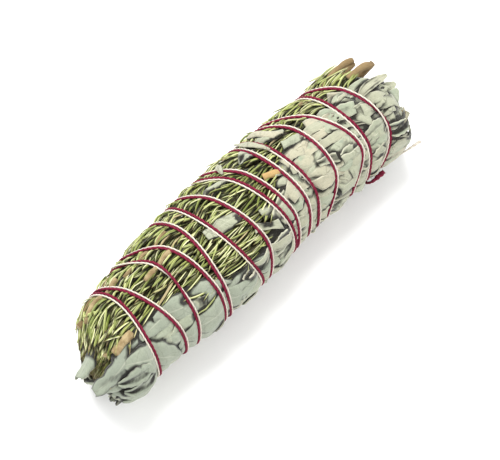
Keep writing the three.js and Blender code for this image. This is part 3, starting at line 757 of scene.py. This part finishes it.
def leaf_bits():
    """Broken bits, mostly over the far half of the sage."""
    random.seed(BIT_DRAW)
    leaves = []
    u, v = spread(BIT_COUNT, BITS_SPREAD)
    for i in range(BIT_COUNT):
        x = BITS_X[0] + (BITS_X[1] - BITS_X[0]) * u[i] ** 0.7
        angle = float(smooth(EDGE_X, EDGE_ANGLE, x)) + 6 + 175 * v[i] ** 1.6
        way = random.choice([-1, 1])
        length = uniform(7, 18)
        turn = math.radians(uniform(-35, 35))
        tip = (x + way * length * math.cos(turn), angle + length * math.sin(turn) * DEGREES_PER_MM)
        deep = uniform(-0.5, 0.6)
        own = dict(
            dive=uniform(-0.8, 0.8),
            lean=normal(0, 0.12),
            fold=random.choice([0.0, 0.0, 0.3, -0.3]),
            torn=1.0,
            crumple=0.1,
            wave=0.1,
            left_roll=uniform(-0.6, 0.8),
            right_roll=uniform(-0.6, 0.8),
            tone=uniform(0.3, 1.0),
        )
        leaves.append(sage_leaf((x, angle), tip, uniform(2.2, 4.6), deep, own))
    return leaves


def sage_points(leaf, grid):
    """Several leaves on a grid from root to tip and edge to edge: run, angle and depth there, and
    the distance from the root, from the middle line, and how steeply the leaf is rolled."""
    rows, columns = grid
    t = np.linspace(0, 1, rows + 1)[None, :, None]
    v = np.linspace(-1, 1, columns + 1)[None, None, :]
    v = np.sign(v) * (1 - (1 - np.abs(v)) ** 1.35)
    phase = leaf.phase
    whole = 0.05 + 0.95 * np.sin(math.pi * (0.04 + 0.93 * t) ** 0.9) ** 0.8
    broken = 0.8 + 0.2 * np.sin(4 * t + 20 * phase)
    outline = whole + leaf.torn * (broken - whole)
    ragged = 1 + leaf.frill * np.sin(9 * t + 20 * phase) * np.sin(23 * t + 9 * phase)
    s = v * leaf.half_width * outline * ragged
    curl = np.where(v < 0, leaf.left_roll, leaf.right_roll)
    rolled = -np.sign(v) * curl * step(0.5, 1.0, np.abs(v))
    slope = rolled + leaf.lean + leaf.cup * s / 10 + leaf.fold * np.tanh(5 * v)
    gap = np.diff(s, axis=-1)
    middle = columns // 2

    def from_middle(values):
        total = np.cumsum((values[..., 1:] + values[..., :-1]) / 2 * gap, axis=-1)
        total = np.concatenate([np.zeros_like(total[..., :1]), total], axis=-1)
        return total - total[..., middle : middle + 1]

    lateral = from_middle(np.cos(slope))
    skew = leaf.near_skew * (1 - t) + leaf.far_skew * t
    far = leaf.length * t + leaf.torn * skew * s
    relief = leaf.wave * np.sin(8 * t + 6 * phase + 1.6 * v)
    for way, spacing in FACETS:
        place = (far * np.cos(way + 6 * phase) + s * np.sin(way + 6 * phase)) / spacing + 7 * phase
        relief = relief + leaf.crumple * (4 * np.abs(place % 1 - 0.5) - 1)
    rise = from_middle(np.sin(slope)) + relief * (1 - 0.5 * np.abs(v))
    sideways = far * np.sin(leaf.heading) + leaf.bend * t**2
    run = leaf.root + leaf.way * far * np.cos(leaf.heading)
    run = run + lateral * np.sin(leaf.heading)
    angle = leaf.angle + DEGREES_PER_MM * (sideways + lateral * np.cos(leaf.heading))
    depth = leaf.deep + leaf.dive * (1 - t) - rise
    tucked = smooth(EDGE_X, EDGE_ANGLE, run)
    below = step(tucked + 3, tucked - 5, angle) * (angle > -60) * leaf.under
    depth = depth + below * np.maximum(TUCKED - depth, 0)
    return run, angle, np.maximum(depth, -HIGHEST), far, s, slope


def stacked(leaves):
    """The leaves' values side by side, shaped to spread over a grid of points."""
    columns = zip(*(leaf.values() for leaf in leaves))
    values = [np.array(column, float)[:, None, None] for column in columns]
    return SimpleNamespace(**dict(zip(leaves[0], values)))


def sage_piece(name, leaves, grid, material, nodes):
    """Leaves as one piece, painted with their tone, the light on them and the place on the leaf."""
    template = sheet_template(*grid)
    corners, along, *_ = corners_of(template)
    across = (corners[:, 1] + 1) / 2
    row = np.round(along * grid[0]).astype(int)
    column = np.round(across * grid[1]).astype(int)
    leaf = stacked(leaves)
    run, angle, depth, far, off, slope = sage_points(leaf, grid)
    mesh = copies(name, template, len(leaves))
    shape(mesh, lay(run, angle, depth, leaf)[:, row, column])
    # Painted shade and light: darker in the crevices between leaves and on steeply rolled parts,
    # lighter past the free ends by each leaf's open share
    clear = openness(run, angle, depth - 3 * leaf.over, SAGE_LOOKS, SAGE_WORST)
    past = np.maximum(NEAR_TURN - run, run - FAR_TURN)
    free = leaf.open * step(leaf.opens, leaf.opens + 7, past)
    facing_out = np.maximum(step(1.4, 0.5, np.abs(slope)), free**2)
    clear = (np.maximum(clear, free) * (0.2 + 0.8 * facing_out))[:, row, column]
    paint(mesh, "leaf", along, across, leaf.tone[:, 0], clear)
    far, off = (values[:, row, column] for values in np.broadcast_arrays(far, off))
    paint(mesh, "spot", far, off, leaf.phase[:, 0], leaf.crumple[:, 0])
    piece = new_piece(name, mesh, material, nodes)
    thick = piece.modifiers.new("thickness", "SOLIDIFY")
    thick.thickness = LEAF_THICKNESS * MM
    thick.offset = 0


# Stems and twigs

# Angle, radii at the start, middle and end, X of both ends, and the stem's own radius
STEMS = {
    "rosemary_stem": [
        (-103, (15, 13, 17), (-86, 92), 1.5),
        (-65.5, (20, 14, 19.5), (-84, 97), 1.7),
        (-28.5, (13, 12, 18.5), (-88, 100), 1.6),
        (7.5, (17.5, 12, 14), (-88, 24), 1.7),
        (41, (14, 13, 14), (-43, 17), 1.2),
    ],
    "sage_stem": [
        (81, (13, 12, 19), (-92, 94), 1.8),
        (130, (12, 12, 14), (-90, 95), 1.6),
        (178, (14, 12, 13), (-91, 94), 1.6),
        (219.5, (13, 12, 14), (-90, 95), 1.5),
        (7.5, (14, 12, 13), (34, 96), 1.4),
        (41, (14, 12, 12), (25, 95), 1.4),
        (41, (11, 12, 13), (-93, -50), 1.8),
    ],
}
# Bits of bare twig between the needles: ends as run, angle and depth, half thickness and tone
TWIGS = [
    ((-82, -46, -0.8), (-58, -42, -0.3), 1.2, 0.8),
    ((-84.5, 15, -0.4), (-73, 19, -0.4), 1.9, 0.9),
    ((-86, -8, 1.0), (-77, -4, 1.0), 1.2, 0.5),
    ((-52, -9, -0.6), (-33, -13, -0.4), 1.2, 0.9),
    ((-56, -32, -0.2), (-38, -35, 0.5), 0.9, 0.6),
    ((-37, -30, 0.0), (-28, -34, 0.6), 0.9, 0.7),
    ((-78, -62, 0.0), (-58, -58, 0.5), 1.0, 0.3),
    ((20, 1, -0.9), (28.5, 9, -0.4), 1.6, 1.0),
    ((-95, 38, -0.6), (-98, 36, -0.6), 1.1, 1.0),
    ((60, -44, 0.2), (82, -48, 0.6), 1.0, 0.5),
    ((79, -47, 0.6), (94.5, -46, -1.6), 1.6, 0.3),
    ((84, -24, 0.6), (97.5, -22, -2.4), 1.7, 0.35),
    ((83, 58, 1.0), (92, 52, 1.2), 1.2, 0.2),
]
SAGE_TWIGS = [((79, 60, 0.4), (93, 57, 0.2), 2.0, 0.9)]
CUT_ENDS = 48  # small cut stems over the far end's face
TWIG_POINTS = 9
STEM_CORNERS = 12
STEM_SPANS = 12
STEM_STEPS = 6
CUT_INSET = 0.16
CUT_DEPTHS = (24.5, 7.5)  # of the small cut stems, from the middle outwards
CUT_X = (76, 87)  # from here to here, or up to 3.5 further
SAGE_SIDE = (40, 240)


def stem_template():
    """A rod whose cut ends have a rim of bark."""
    bm = bmesh.new()
    bm.from_mesh(rod_template(STEM_CORNERS, STEM_SPANS))
    ends = [face for face in bm.faces if len(face.verts) == STEM_CORNERS]
    bmesh.ops.inset_individual(bm, faces=ends, thickness=CUT_INSET)
    return mesh_from(bm, "stem")


def twig_line(start, end, half):
    """The middle of a twig as points in metres, which lies in between the leaves."""
    share = np.linspace(0, 1, TWIG_POINTS)[:, None]
    x, angle, depth = (np.array(start) * (1 - share) + np.array(end) * share).T
    return straight(x, angle, depth + 0.9 * half)


def stems(name, middles, thickness, tones, material, slot, nodes):
    """Stems along lines of points, uneven and ridged, with paint for bark and cut wood."""
    template = stem_template()
    _, t, turn, across = corners_of(template)
    count = len(middles)
    points = []
    for line, half in zip(middles, thickness):
        knots = np.linspace(0, 1, len(line))
        before, middle, after = (smooth_line(knots, line, t + way) for way in (-0.02, 0, 0.02))
        ahead = unit(after - before)
        side = unit(np.cross(ahead, (0.0, 0.3, 1.0)))
        up = np.cross(side, ahead)
        shift = uniform(0, 9)
        ridged = 1 + 0.07 * np.sin(5 * turn + shift + 3 * t) + 0.10 * np.sin(9 * t + shift)
        worn = half * ridged * across * MM
        out, rise = (worn * np.cos(turn))[:, None], (worn * np.sin(turn))[:, None]
        points.append(middle + side * out + up * rise)
    mesh = copies(name, template, count)
    shape(mesh, np.array(points))
    tone = np.repeat(tones, len(t))
    cut, along, around = np.tile([across < 0.99, t, turn / (2 * math.pi) + 0.5], count)
    paint(mesh, "stem", tone, cut, along, around)
    new_piece(name, mesh, material, nodes)


# Materials

class Nodes:
    """A node tree, and short ways to add to it. An input is a value, or a socket to link."""

    def __init__(self, tree):
        self.tree = tree

    def fill(self, socket, value):
        if isinstance(value, bpy.types.NodeSocket):
            self.tree.links.new(value, socket)
        else:
            socket.default_value = value

    def add(self, kind, inputs=(), **settings):
        made = self.tree.nodes.new("ShaderNode" + kind)
        for name, value in settings.items():
            setattr(made, name, value)
        for name, value in dict(inputs).items():
            self.fill(made.inputs[name], value)
        return made

    def mixed(self, factor, first, second, blend="MIX"):
        mix = self.add("Mix", data_type="RGBA", blend_type=blend)
        for index, value in ((0, factor), (6, first), (7, second)):
            self.fill(mix.inputs[index], (*value, 1) if isinstance(value, tuple) else value)
        return mix.outputs[2]

    def ramp(self, value, low, high, share=1):
        """0 at a value's low end, and the share at its high end, straight between."""
        inputs = {"Value": value, "From Min": low, "From Max": high, "To Max": share}
        return self.add("MapRange", inputs).outputs["Result"]

    def layered(self, colour, *layers):
        """A colour with others laid over it in turn. Each is a ramp's numbers and a colour."""
        for *mask, over in layers:
            colour = self.mixed(self.ramp(*mask), colour, over)
        return colour

    def shaded(self, colour, light, dark, bright=(1.0, 1.0, 1.0)):
        return self.mixed(1.0, colour, self.mixed(light, dark, bright), "MULTIPLY")

    def maths(self, operation, *values):
        return self.add("Math", enumerate(values), operation=operation).outputs[0]

    def times(self, first, second, more=0.0):
        """The product of two values, and more added to it."""
        return self.maths("MULTIPLY_ADD", first, second, more)

    def from_half(self, value):
        """How far a value from 0 to 1 is from the middle."""
        return self.maths("ABSOLUTE", self.maths("SUBTRACT", value, 0.5))

    def four(self, name):
        """The four numbers that a piece keeps for each of its points."""
        attribute = self.add("Attribute", attribute_name=name)
        parts = self.add("SeparateColor", {"Color": attribute.outputs["Color"]})
        return (*parts.outputs[:3], attribute.outputs["Alpha"])

    def mottle(self, patch, grain):
        sizes = {"Patch Size": patch, "Grain Size": grain}
        made = self.add("Group", sizes, node_tree=MOTTLE)
        return made.outputs["Patches"], made.outputs["Grain"]


class Surface(Nodes):
    """The nodes of a new material."""

    def __init__(self, name, roughness, specular):
        self.material = bpy.data.materials.new(name)
        self.material.use_nodes = True
        super().__init__(self.material.node_tree)
        self.inputs = self.tree.nodes["Principled BSDF"].inputs
        self.inputs["Roughness"].default_value = roughness
        self.inputs["Specular IOR Level"].default_value = specular

    def finished(self, colour, height, distance, strength):
        """The material, with its colour and its relief."""
        self.fill(self.inputs["Base Color"], colour)
        inputs = {"Height": height, "Distance": distance, "Strength": strength}
        self.fill(self.inputs["Normal"], self.add("Bump", inputs).outputs["Normal"])
        return self.material


def new_group(name, inputs, outputs):
    """A group with number sockets, as its nodes, its input sockets and its output sockets."""
    group = bpy.data.node_groups.new(name, "ShaderNodeTree")
    for way, sockets in (("INPUT", inputs), ("OUTPUT", outputs)):
        for socket in sockets:
            group.interface.new_socket(socket, in_out=way, socket_type="NodeSocketFloat")
    given, result = group.nodes.new("NodeGroupInput"), group.nodes.new("NodeGroupOutput")
    return Nodes(group), given.outputs, result.inputs


def mottle_group():
    """Soft patches and fine grain, for every dried leaf and stem."""
    nodes, given, result = new_group("mottle", ["Patch Size", "Grain Size"], ["Patches", "Grain"])
    place = nodes.add("TexCoord").outputs["Object"]
    for way, (usual, detail) in enumerate(((0.006, 3), (0.0005, 4))):
        nodes.tree.interface.items_tree[given[way].name].default_value = usual
        scale = nodes.maths("DIVIDE", 1.0, given[way])
        inputs = {"Vector": place, "Scale": scale, "Detail": detail}
        nodes.fill(result[way], nodes.add("TexNoise", inputs).outputs["Fac"])
    return nodes.tree


def crease_shade_group():
    """Painted shade: thin lines down a crumpled leaf's creases, from where a point is on its leaf.
    """
    nodes, given, result = new_group("creases", ["Along", "Across", "Phase", "Width"], ["Line"])
    line = 0.0
    for way, spacing in FACETS:
        turned = nodes.times(given["Phase"], 6.0, way)
        along = nodes.times(given["Along"], nodes.maths("COSINE", turned))
        place = nodes.times(given["Across"], nodes.maths("SINE", turned), along)
        place = nodes.maths("DIVIDE", place, spacing)
        place = nodes.times(given["Phase"], 7.0, place)
        away = nodes.from_half(nodes.maths("FRACT", place))
        near = nodes.ramp(nodes.times(away, spacing), given["Width"], 0.0)
        line = nodes.maths("MAXIMUM", near, line)
    nodes.fill(result["Line"], line)
    return nodes.tree


MOTTLE = mottle_group()
CREASE_SHADE = crease_shade_group()


def needle_material():
    nodes = Surface("dried_rosemary", 0.5, 0.4)
    tone, dried, above, across = nodes.four("needle")
    lit, clear, along, _ = nodes.four("shade")
    patches, grain = nodes.mottle(0.007, 0.0004)
    colour = nodes.layered(
        (0.17, 0.22, 0.035),
        (tone, 0.1, 0.95, (0.60, 0.65, 0.27)),
        (patches, 0.5, 0.75, (0.38, 0.42, 0.11)),
        (nodes.from_half(across), 0.14, 0.02, 0.6, (0.13, 0.14, 0.035)),  # painted shade in the channel
        (above, 0.42, 0.2, (0.80, 0.76, 0.52)),  # the underside
        (dried, 0.95, 0.97, (0.42, 0.34, 0.18)),  # one needle in twenty-five is brown
        (along, 0.84, 1.0, (0.20, 0.13, 0.05)),  # the tip
    )
    light = nodes.times(nodes.ramp(lit, 0.08, 0.78), nodes.ramp(clear, 0.1, 0.68))
    colour = nodes.shaded(colour, light, (0.06, 0.055, 0.02))
    colour = nodes.mixed(nodes.ramp(grain, 0.35, 0.7), colour, (0.55, 0.55, 0.45), "SOFT_LIGHT")
    return nodes.finished(colour, grain, 0.0002, 0.5)


def sage_material():
    nodes = Surface("white_sage", 0.85, 0.2)
    nodes.inputs["Sheen Weight"].default_value = 0.25
    nodes.inputs["Sheen Roughness"].default_value = 0.6
    _, across, tone, clear = nodes.four("leaf")
    far, off, phase, crumple = nodes.four("spot")
    patches, grain = nodes.mottle(0.008, 0.00045)
    wrinkles, _ = nodes.mottle(0.0016, 0.001)
    on_leaf = {
        "Along": nodes.times(patches, 9.0, far),
        "Across": off,
        "Phase": phase,
        "Width": nodes.ramp(patches, 0.35, 0.6, 0.4),
    }
    line = nodes.add("Group", on_leaf, node_tree=CREASE_SHADE).outputs["Line"]
    line = nodes.times(line, nodes.ramp(crumple, 0.08, 0.22))
    off_middle = nodes.from_half(across)
    colour = nodes.layered(
        (0.265, 0.30, 0.215),
        (patches, 0.3, 0.7, (0.345, 0.372, 0.272)),
        (tone, 0.3, 0.8, (0.342, 0.34, 0.246)),
        (tone, 0.9, 0.95, (0.39, 0.365, 0.265)),  # the palest bits
        (wrinkles, 0.48, 0.3, 0.4, (0.19, 0.205, 0.15)),
        (line, 0.0, 1.0, 0.55, (0.05, 0.045, 0.025)),  # painted shade in the creases
        (tone, 0.12, 0.0, (0.222, 0.25, 0.2)),  # the greyest leaves
        (off_middle, 0.02, 0.005, 0.4, (0.47, 0.47, 0.37)),  # the midrib
        (off_middle, 0.41, 0.47, 0.5, (0.62, 0.60, 0.47)),  # the rim: a paler hairy edge, and a painted highlight along it
    )
    light = nodes.ramp(clear, 0.30, 0.58)
    colour = nodes.shaded(colour, light, (0.03, 0.026, 0.012), (1.1, 1.1, 1.08))
    down = nodes.mixed(grain, (0.35, 0.35, 0.35), (0.65, 0.65, 0.65))
    colour = nodes.mixed(0.5, colour, down, "OVERLAY")
    height = nodes.times(patches, 2.0, grain)
    height = nodes.times(wrinkles, 0.7, height)
    return nodes.finished(colour, height, 0.0005, 0.9)


def bark_material(name, dark, light, cut_wood):
    nodes = Surface(name, 0.75, 0.25)
    tone, cut, along, around = nodes.four("stem")
    patches, grain = nodes.mottle(0.004, 0.0004)
    where = nodes.add("CombineXYZ", {"X": around, "Y": along, "Z": tone})
    inputs = {"Vector": where.outputs[0], "Scale": 9.0, "Distortion": 6.0, "Detail": 3.0}
    fibre = nodes.add("TexWave", inputs).outputs["Fac"]
    patched = nodes.mixed(nodes.ramp(patches, 0.3, 0.7), dark, light)
    colour = nodes.layered(
        dark,
        (tone, 0.2, 0.95, patched),
        (tone, 0.95, 1.0, (0.66, 0.44, 0.18)),  # bare orange wood
        (fibre, 0.0, 1.0, 0.45, dark),
        (grain, 0.6, 0.75, dark),
        (cut, 0.0, 1.0, cut_wood),
    )
    return nodes.finished(colour, nodes.maths("ADD", fibre, grain), 0.0003, 0.7)


def packing_shade_material():
    nodes = Surface("crumbled_leaf_in_shade", 0.95, 0.1)
    patches, grain = nodes.mottle(0.003, 0.0006)
    # The packed leaves inside, coloured almost black with lighter patches: painted shade, for the
    # deep gaps between the outer leaves
    dark, light = (0.05, 0.046, 0.024), (0.15, 0.13, 0.075)
    colour = nodes.layered(dark, (patches, 0.35, 0.65, light))
    return nodes.finished(colour, grain, 0.0008, 1.0)


def thread_material(name, dark, light):
    nodes = Surface(name, 0.7, 0.2)
    ply, *_ = nodes.four("strand")
    _, grain = nodes.mottle(0.004, 0.00012)
    # Darker in the groove between the two plies, lighter on their crests: painted shade
    colour = nodes.layered(dark, (ply, 0.1, 0.9, light), (grain, 0.3, 0.8, light))
    return nodes.finished(colour, nodes.maths("ADD", ply, grain), 0.0001, 0.8)


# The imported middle

PACKING_GRID = (40, 60)
PACKING_X = (-90, 87)
PACKING_RADIUS = 20.0


def packing():
    template = rod_template(*PACKING_GRID)
    _, along, turn, on_rim = corners_of(template)
    angle = np.degrees(turn)
    x = PACKING_X[0] + (PACKING_X[1] - PACKING_X[0]) * along
    radius = leaf_radius(x, angle) - LITTER - 0.5
    shape(template, in_space(x, angle, np.minimum(radius, PACKING_RADIUS) * on_rim))
    new_piece("packed_leaf", template, packing_shade_material(), [])


# Threads

PLY_PITCH = 2.6
PLY_POINTS = 10
TAIL_LENGTH = 9.0  # over this much of its end a thread comes untwisted and swells
TAIL_SWELL = 0.9


def line_of(name, points):
    """An object with a line through points, and that line."""
    curve = bpy.data.curves.new(name, "CURVE")
    curve.dimensions = "3D"
    spline = curve.splines.new("POLY")
    spline.points.add(len(points) - 1)
    spline.points.foreach_set("co", np.column_stack([points, np.ones(len(points))]).ravel())
    return placed(name, curve), spline


def swept(name, line, radius, material, nodes):
    """A two-ply thread along a line: a waisted outline that turns as it goes, loose at its end."""
    a = 2 * math.pi * np.arange(PLY_POINTS) / PLY_POINTS
    r = radius * MM * (0.86 + 0.14 * np.cos(2 * a))
    outline = np.column_stack([r * np.cos(a), r * np.sin(a), 0 * a])
    profile, spline = line_of(name + "_profile", outline)
    spline.use_cyclic_u = True
    thread, spline = line_of(name + "_line", line)
    thread.data.twist_mode = "MINIMUM"
    thread.data.bevel_mode = "OBJECT"
    thread.data.bevel_object = profile
    thread.data.use_fill_caps = True
    gone = gone_along(line)
    spline.points.foreach_set("tilt", gone / (PLY_PITCH * 2 * MM) * 2 * math.pi)
    left = (gone[-1] - gone) / MM
    loose = TAIL_SWELL * step(TAIL_LENGTH, 0.3 * TAIL_LENGTH, left)
    spline.points.foreach_set("radius", 1 + loose)
    graph = bpy.context.evaluated_depsgraph_get()
    mesh = bpy.data.meshes.new_from_object(thread.evaluated_get(graph))
    mesh.name = name
    for made in (thread, profile):
        bpy.data.curves.remove(made.data)
    # ply is 1 on each ply's crest and 0 in the groove between, where the thread's material paints
    # shade
    index = np.arange(len(mesh.vertices)) % PLY_POINTS
    ply = 0.5 + 0.5 * np.cos(4 * math.pi * index / PLY_POINTS)
    paint(mesh, "strand", ply, ply, ply, ply)
    mesh.materials.clear()
    new_piece(name, mesh, material, nodes)


def tail_line(points):
    """A short free end, on a smooth curve through its points."""
    knots = np.array([in_space(*point) for point in points])
    gone = gone_along(knots)
    return smooth_line(gone, knots, np.arange(0, gone[-1], TAIL_STEP * MM))


# Camera, light and floor

# Name, place towards the camera, to its right and up, size and power
LIGHTS = [
    ("key", (0.85, -0.2, 0.8), 0.7, 15.5),
    ("fill", (1.0, 0.5, -0.1), 0.9, 3.5),
]
ROOM_LIGHT = 0.95
SENSOR_WIDTH = 36
FLOOR_REACH = 3


def look_at(obj, place, target):
    obj.location = place
    obj.rotation_euler = (Vector(target) - Vector(place)).to_track_quat("-Z", "Y").to_euler()


def add_camera():
    a, e = math.radians(VIEW_AZIMUTH), math.radians(VIEW_ELEVATION)
    back = Vector((math.sin(a) * math.cos(e), -math.cos(a) * math.cos(e), math.sin(e)))
    right = Vector((math.cos(a), math.sin(a), 0))
    up = back.cross(right)
    pixel = VIEW_WIDTH / PICTURE_WIDTH
    across = (PICTURE_WIDTH / 2 - BUNDLE_PIXEL[0]) * pixel
    down = (PICTURE_HEIGHT / 2 - BUNDLE_PIXEL[1]) * pixel
    target = Vector(BUNDLE_MIDDLE) * MM + right * across - up * down
    camera = placed("camera", bpy.data.cameras.new("camera"))
    camera.data.sensor_width = SENSOR_WIDTH
    camera.data.lens = SENSOR_WIDTH * VIEW_DISTANCE / VIEW_WIDTH
    camera.data.clip_start = 0.01
    look_at(camera, target + back * VIEW_DISTANCE, target)
    bpy.context.scene.camera = camera
    return back, right, up


def add_lights(back, right, up):
    """Two soft lights, and an even light from the whole room."""
    for name, (behind, aside, above), size, power in LIGHTS:
        light = placed(name, bpy.data.lights.new(name, "AREA"))
        light.data.shape = "DISK"
        light.data.size = size
        light.data.energy = power
        place = back * behind + right * aside + up * above
        look_at(light, place, (0, 0, AXIS_HEIGHT * MM))
    world = bpy.data.worlds.new("studio")
    bpy.context.scene.world = world
    world.use_nodes = True
    background = world.node_tree.nodes["Background"].inputs
    background["Color"].default_value = (1, 1, 1, 1)
    background["Strength"].default_value = ROOM_LIGHT


def add_floor():
    bm = bmesh.new()
    bmesh.ops.create_grid(bm, x_segments=1, y_segments=1, size=FLOOR_REACH)
    mesh = mesh_from(bm, "floor")
    white = Surface("white_floor", 0.9, 0.5)
    white.inputs["Base Color"].default_value = (0.95, 0.95, 0.95, 1)
    mesh.materials.append(white.material)
    floor = placed("floor", mesh)


# Building it all

def build_stems():
    """The sprigs' stems, the bare twigs, and the small cut stems over the far end's face."""
    share = np.linspace(0, 1, STEM_STEPS + 1)
    for (kind, rows), wood in zip(STEMS.items(), WOODS):
        for number, (angle, radii, (start, end), half) in enumerate(rows, start=1):
            name = f"{kind}_{number}"
            radius = smooth([0, 0.5, 1], radii, share)
            line = in_space(start + (end - start) * share, angle, radius)
            stems(name + "_fine", [line], [half], [uniform(0.2, 0.8)], *wood, [name])
    twigs = (TWIGS[:], SAGE_TWIGS[:])
    for i in range(CUT_ENDS):
        angle = GOLDEN_ANGLE * i
        share = math.sqrt((i + 0.5) / CUT_ENDS)
        deep = CUT_DEPTHS[0] + (CUT_DEPTHS[1] - CUT_DEPTHS[0]) * share
        start = (CUT_X[0], angle, deep)
        end = (CUT_X[1] + 3.5 * random.random(), angle + 3, deep)
        on_sage = SAGE_SIDE[0] < angle % 360 < SAGE_SIDE[1]
        twigs[on_sage].append((start, end, uniform(0.7, 1.7), 0.4 + 0.4 * (i % 2)))
    for name, some, wood in zip(("rosemary_twigs", "sage_twigs"), twigs, WOODS):
        starts, ends, halves, tones = zip(*some)
        lines = [twig_line(*twig) for twig in zip(starts, ends, halves)]
        stems(name, lines, halves, tones, *wood, [])


def build_leaves():
    """All needles and sage leaves. All but those over threads and inside ends go on the map of tops
    first.
    """
    random.seed(NEEDLE_DRAW)
    needles = [drawn_needles(number, window) for number, window in enumerate(ROSEMARY, start=1)]
    sprigs = [sprig_leaves(number, window) for number, window in enumerate(SAGE, start=1)]
    sprigs[0] += placed_leaves(NEAR_LEAVES, NEAR_DRAW, crumple=0.19, tone=0.05)
    rolled = dict(left_roll=0.4, right_roll=0.5)
    sprigs[5] += placed_leaves(FAR_LEAVES, FAR_DRAW, crumple=0.1, wave=0.12, **rolled)
    loose = placed_leaves(LOOSE_LEAVES, LOOSE_DRAW)
    over = placed_leaves(OVER_LEAVES, LOOSE_DRAW)
    inner = inner_leaves()
    bits = leaf_bits()
    for needle in needles:
        add_to_map(*needle_route(needle, np.linspace(0, 1, 25)[None, :]))
    for leaves in (*sprigs, loose):
        add_to_map(*sage_points(stacked(leaves), (40, 20))[:3])
    add_to_map(*sage_points(stacked(bits), (20, 12))[:3])
    close_map()
    rosemary, sage = needle_material(), sage_material()
    for number, needle in enumerate(needles, start=1):
        rosemary_needles(number, needle, rosemary)
    for number, leaves in enumerate(sprigs, start=1):
        name = f"sage_leaves_{number}"
        grid = LEAF_GRID if number in HIDDEN_SPRIGS else SHOWN_GRID
        sage_piece(name + "_fine", leaves, grid, sage, [name])
    for number, leaf in enumerate(loose, start=1):
        name = f"loose_sage_leaf_{number}"
        sage_piece(name + "_fine", [leaf], SHOWN_GRID, sage, [name])
    sage_piece("sage_over_threads", over, SHOWN_GRID, sage, [])
    sage_piece("sage_inside", inner, LEAF_GRID, sage, [])
    sage_piece("sage_bits", bits, BIT_GRID, sage, [])


def build_threads():
    for name, side, tail, radius, dark, light in (
        ("crimson", 1, CRIMSON_TAIL, CRIMSON_RADIUS, (0.06, 0.002, 0.01), (0.215, 0.012, 0.04)),
        ("cream", -1, CREAM_TAIL, CREAM_RADIUS, (0.42, 0.36, 0.28), (0.77, 0.71, 0.62)),
    ):
        line = np.concatenate([thread_line(side), tail_line(tail)])
        cotton = thread_material(name + "_cotton", dark, light)
        piece = name + "_thread"
        swept(piece, line, radius, cotton, ["thread_" + name])


add_lights(*add_camera())
bpy.context.scene.view_settings.view_transform = "Standard"
add_floor()
# The rosemary's and the sage's wood, each with its slot
WOODS = (
    (bark_material("rosemary_bark", (0.26, 0.175, 0.08), (0.74, 0.60, 0.34), (0.58, 0.47, 0.29)),
     "rosemary_bark"),
    (bark_material("sage_stem", (0.26, 0.25, 0.17), (0.50, 0.47, 0.34), (0.52, 0.47, 0.33)),
     "sage_stem"),
)
packing()
build_stems()
build_leaves()
build_threads()
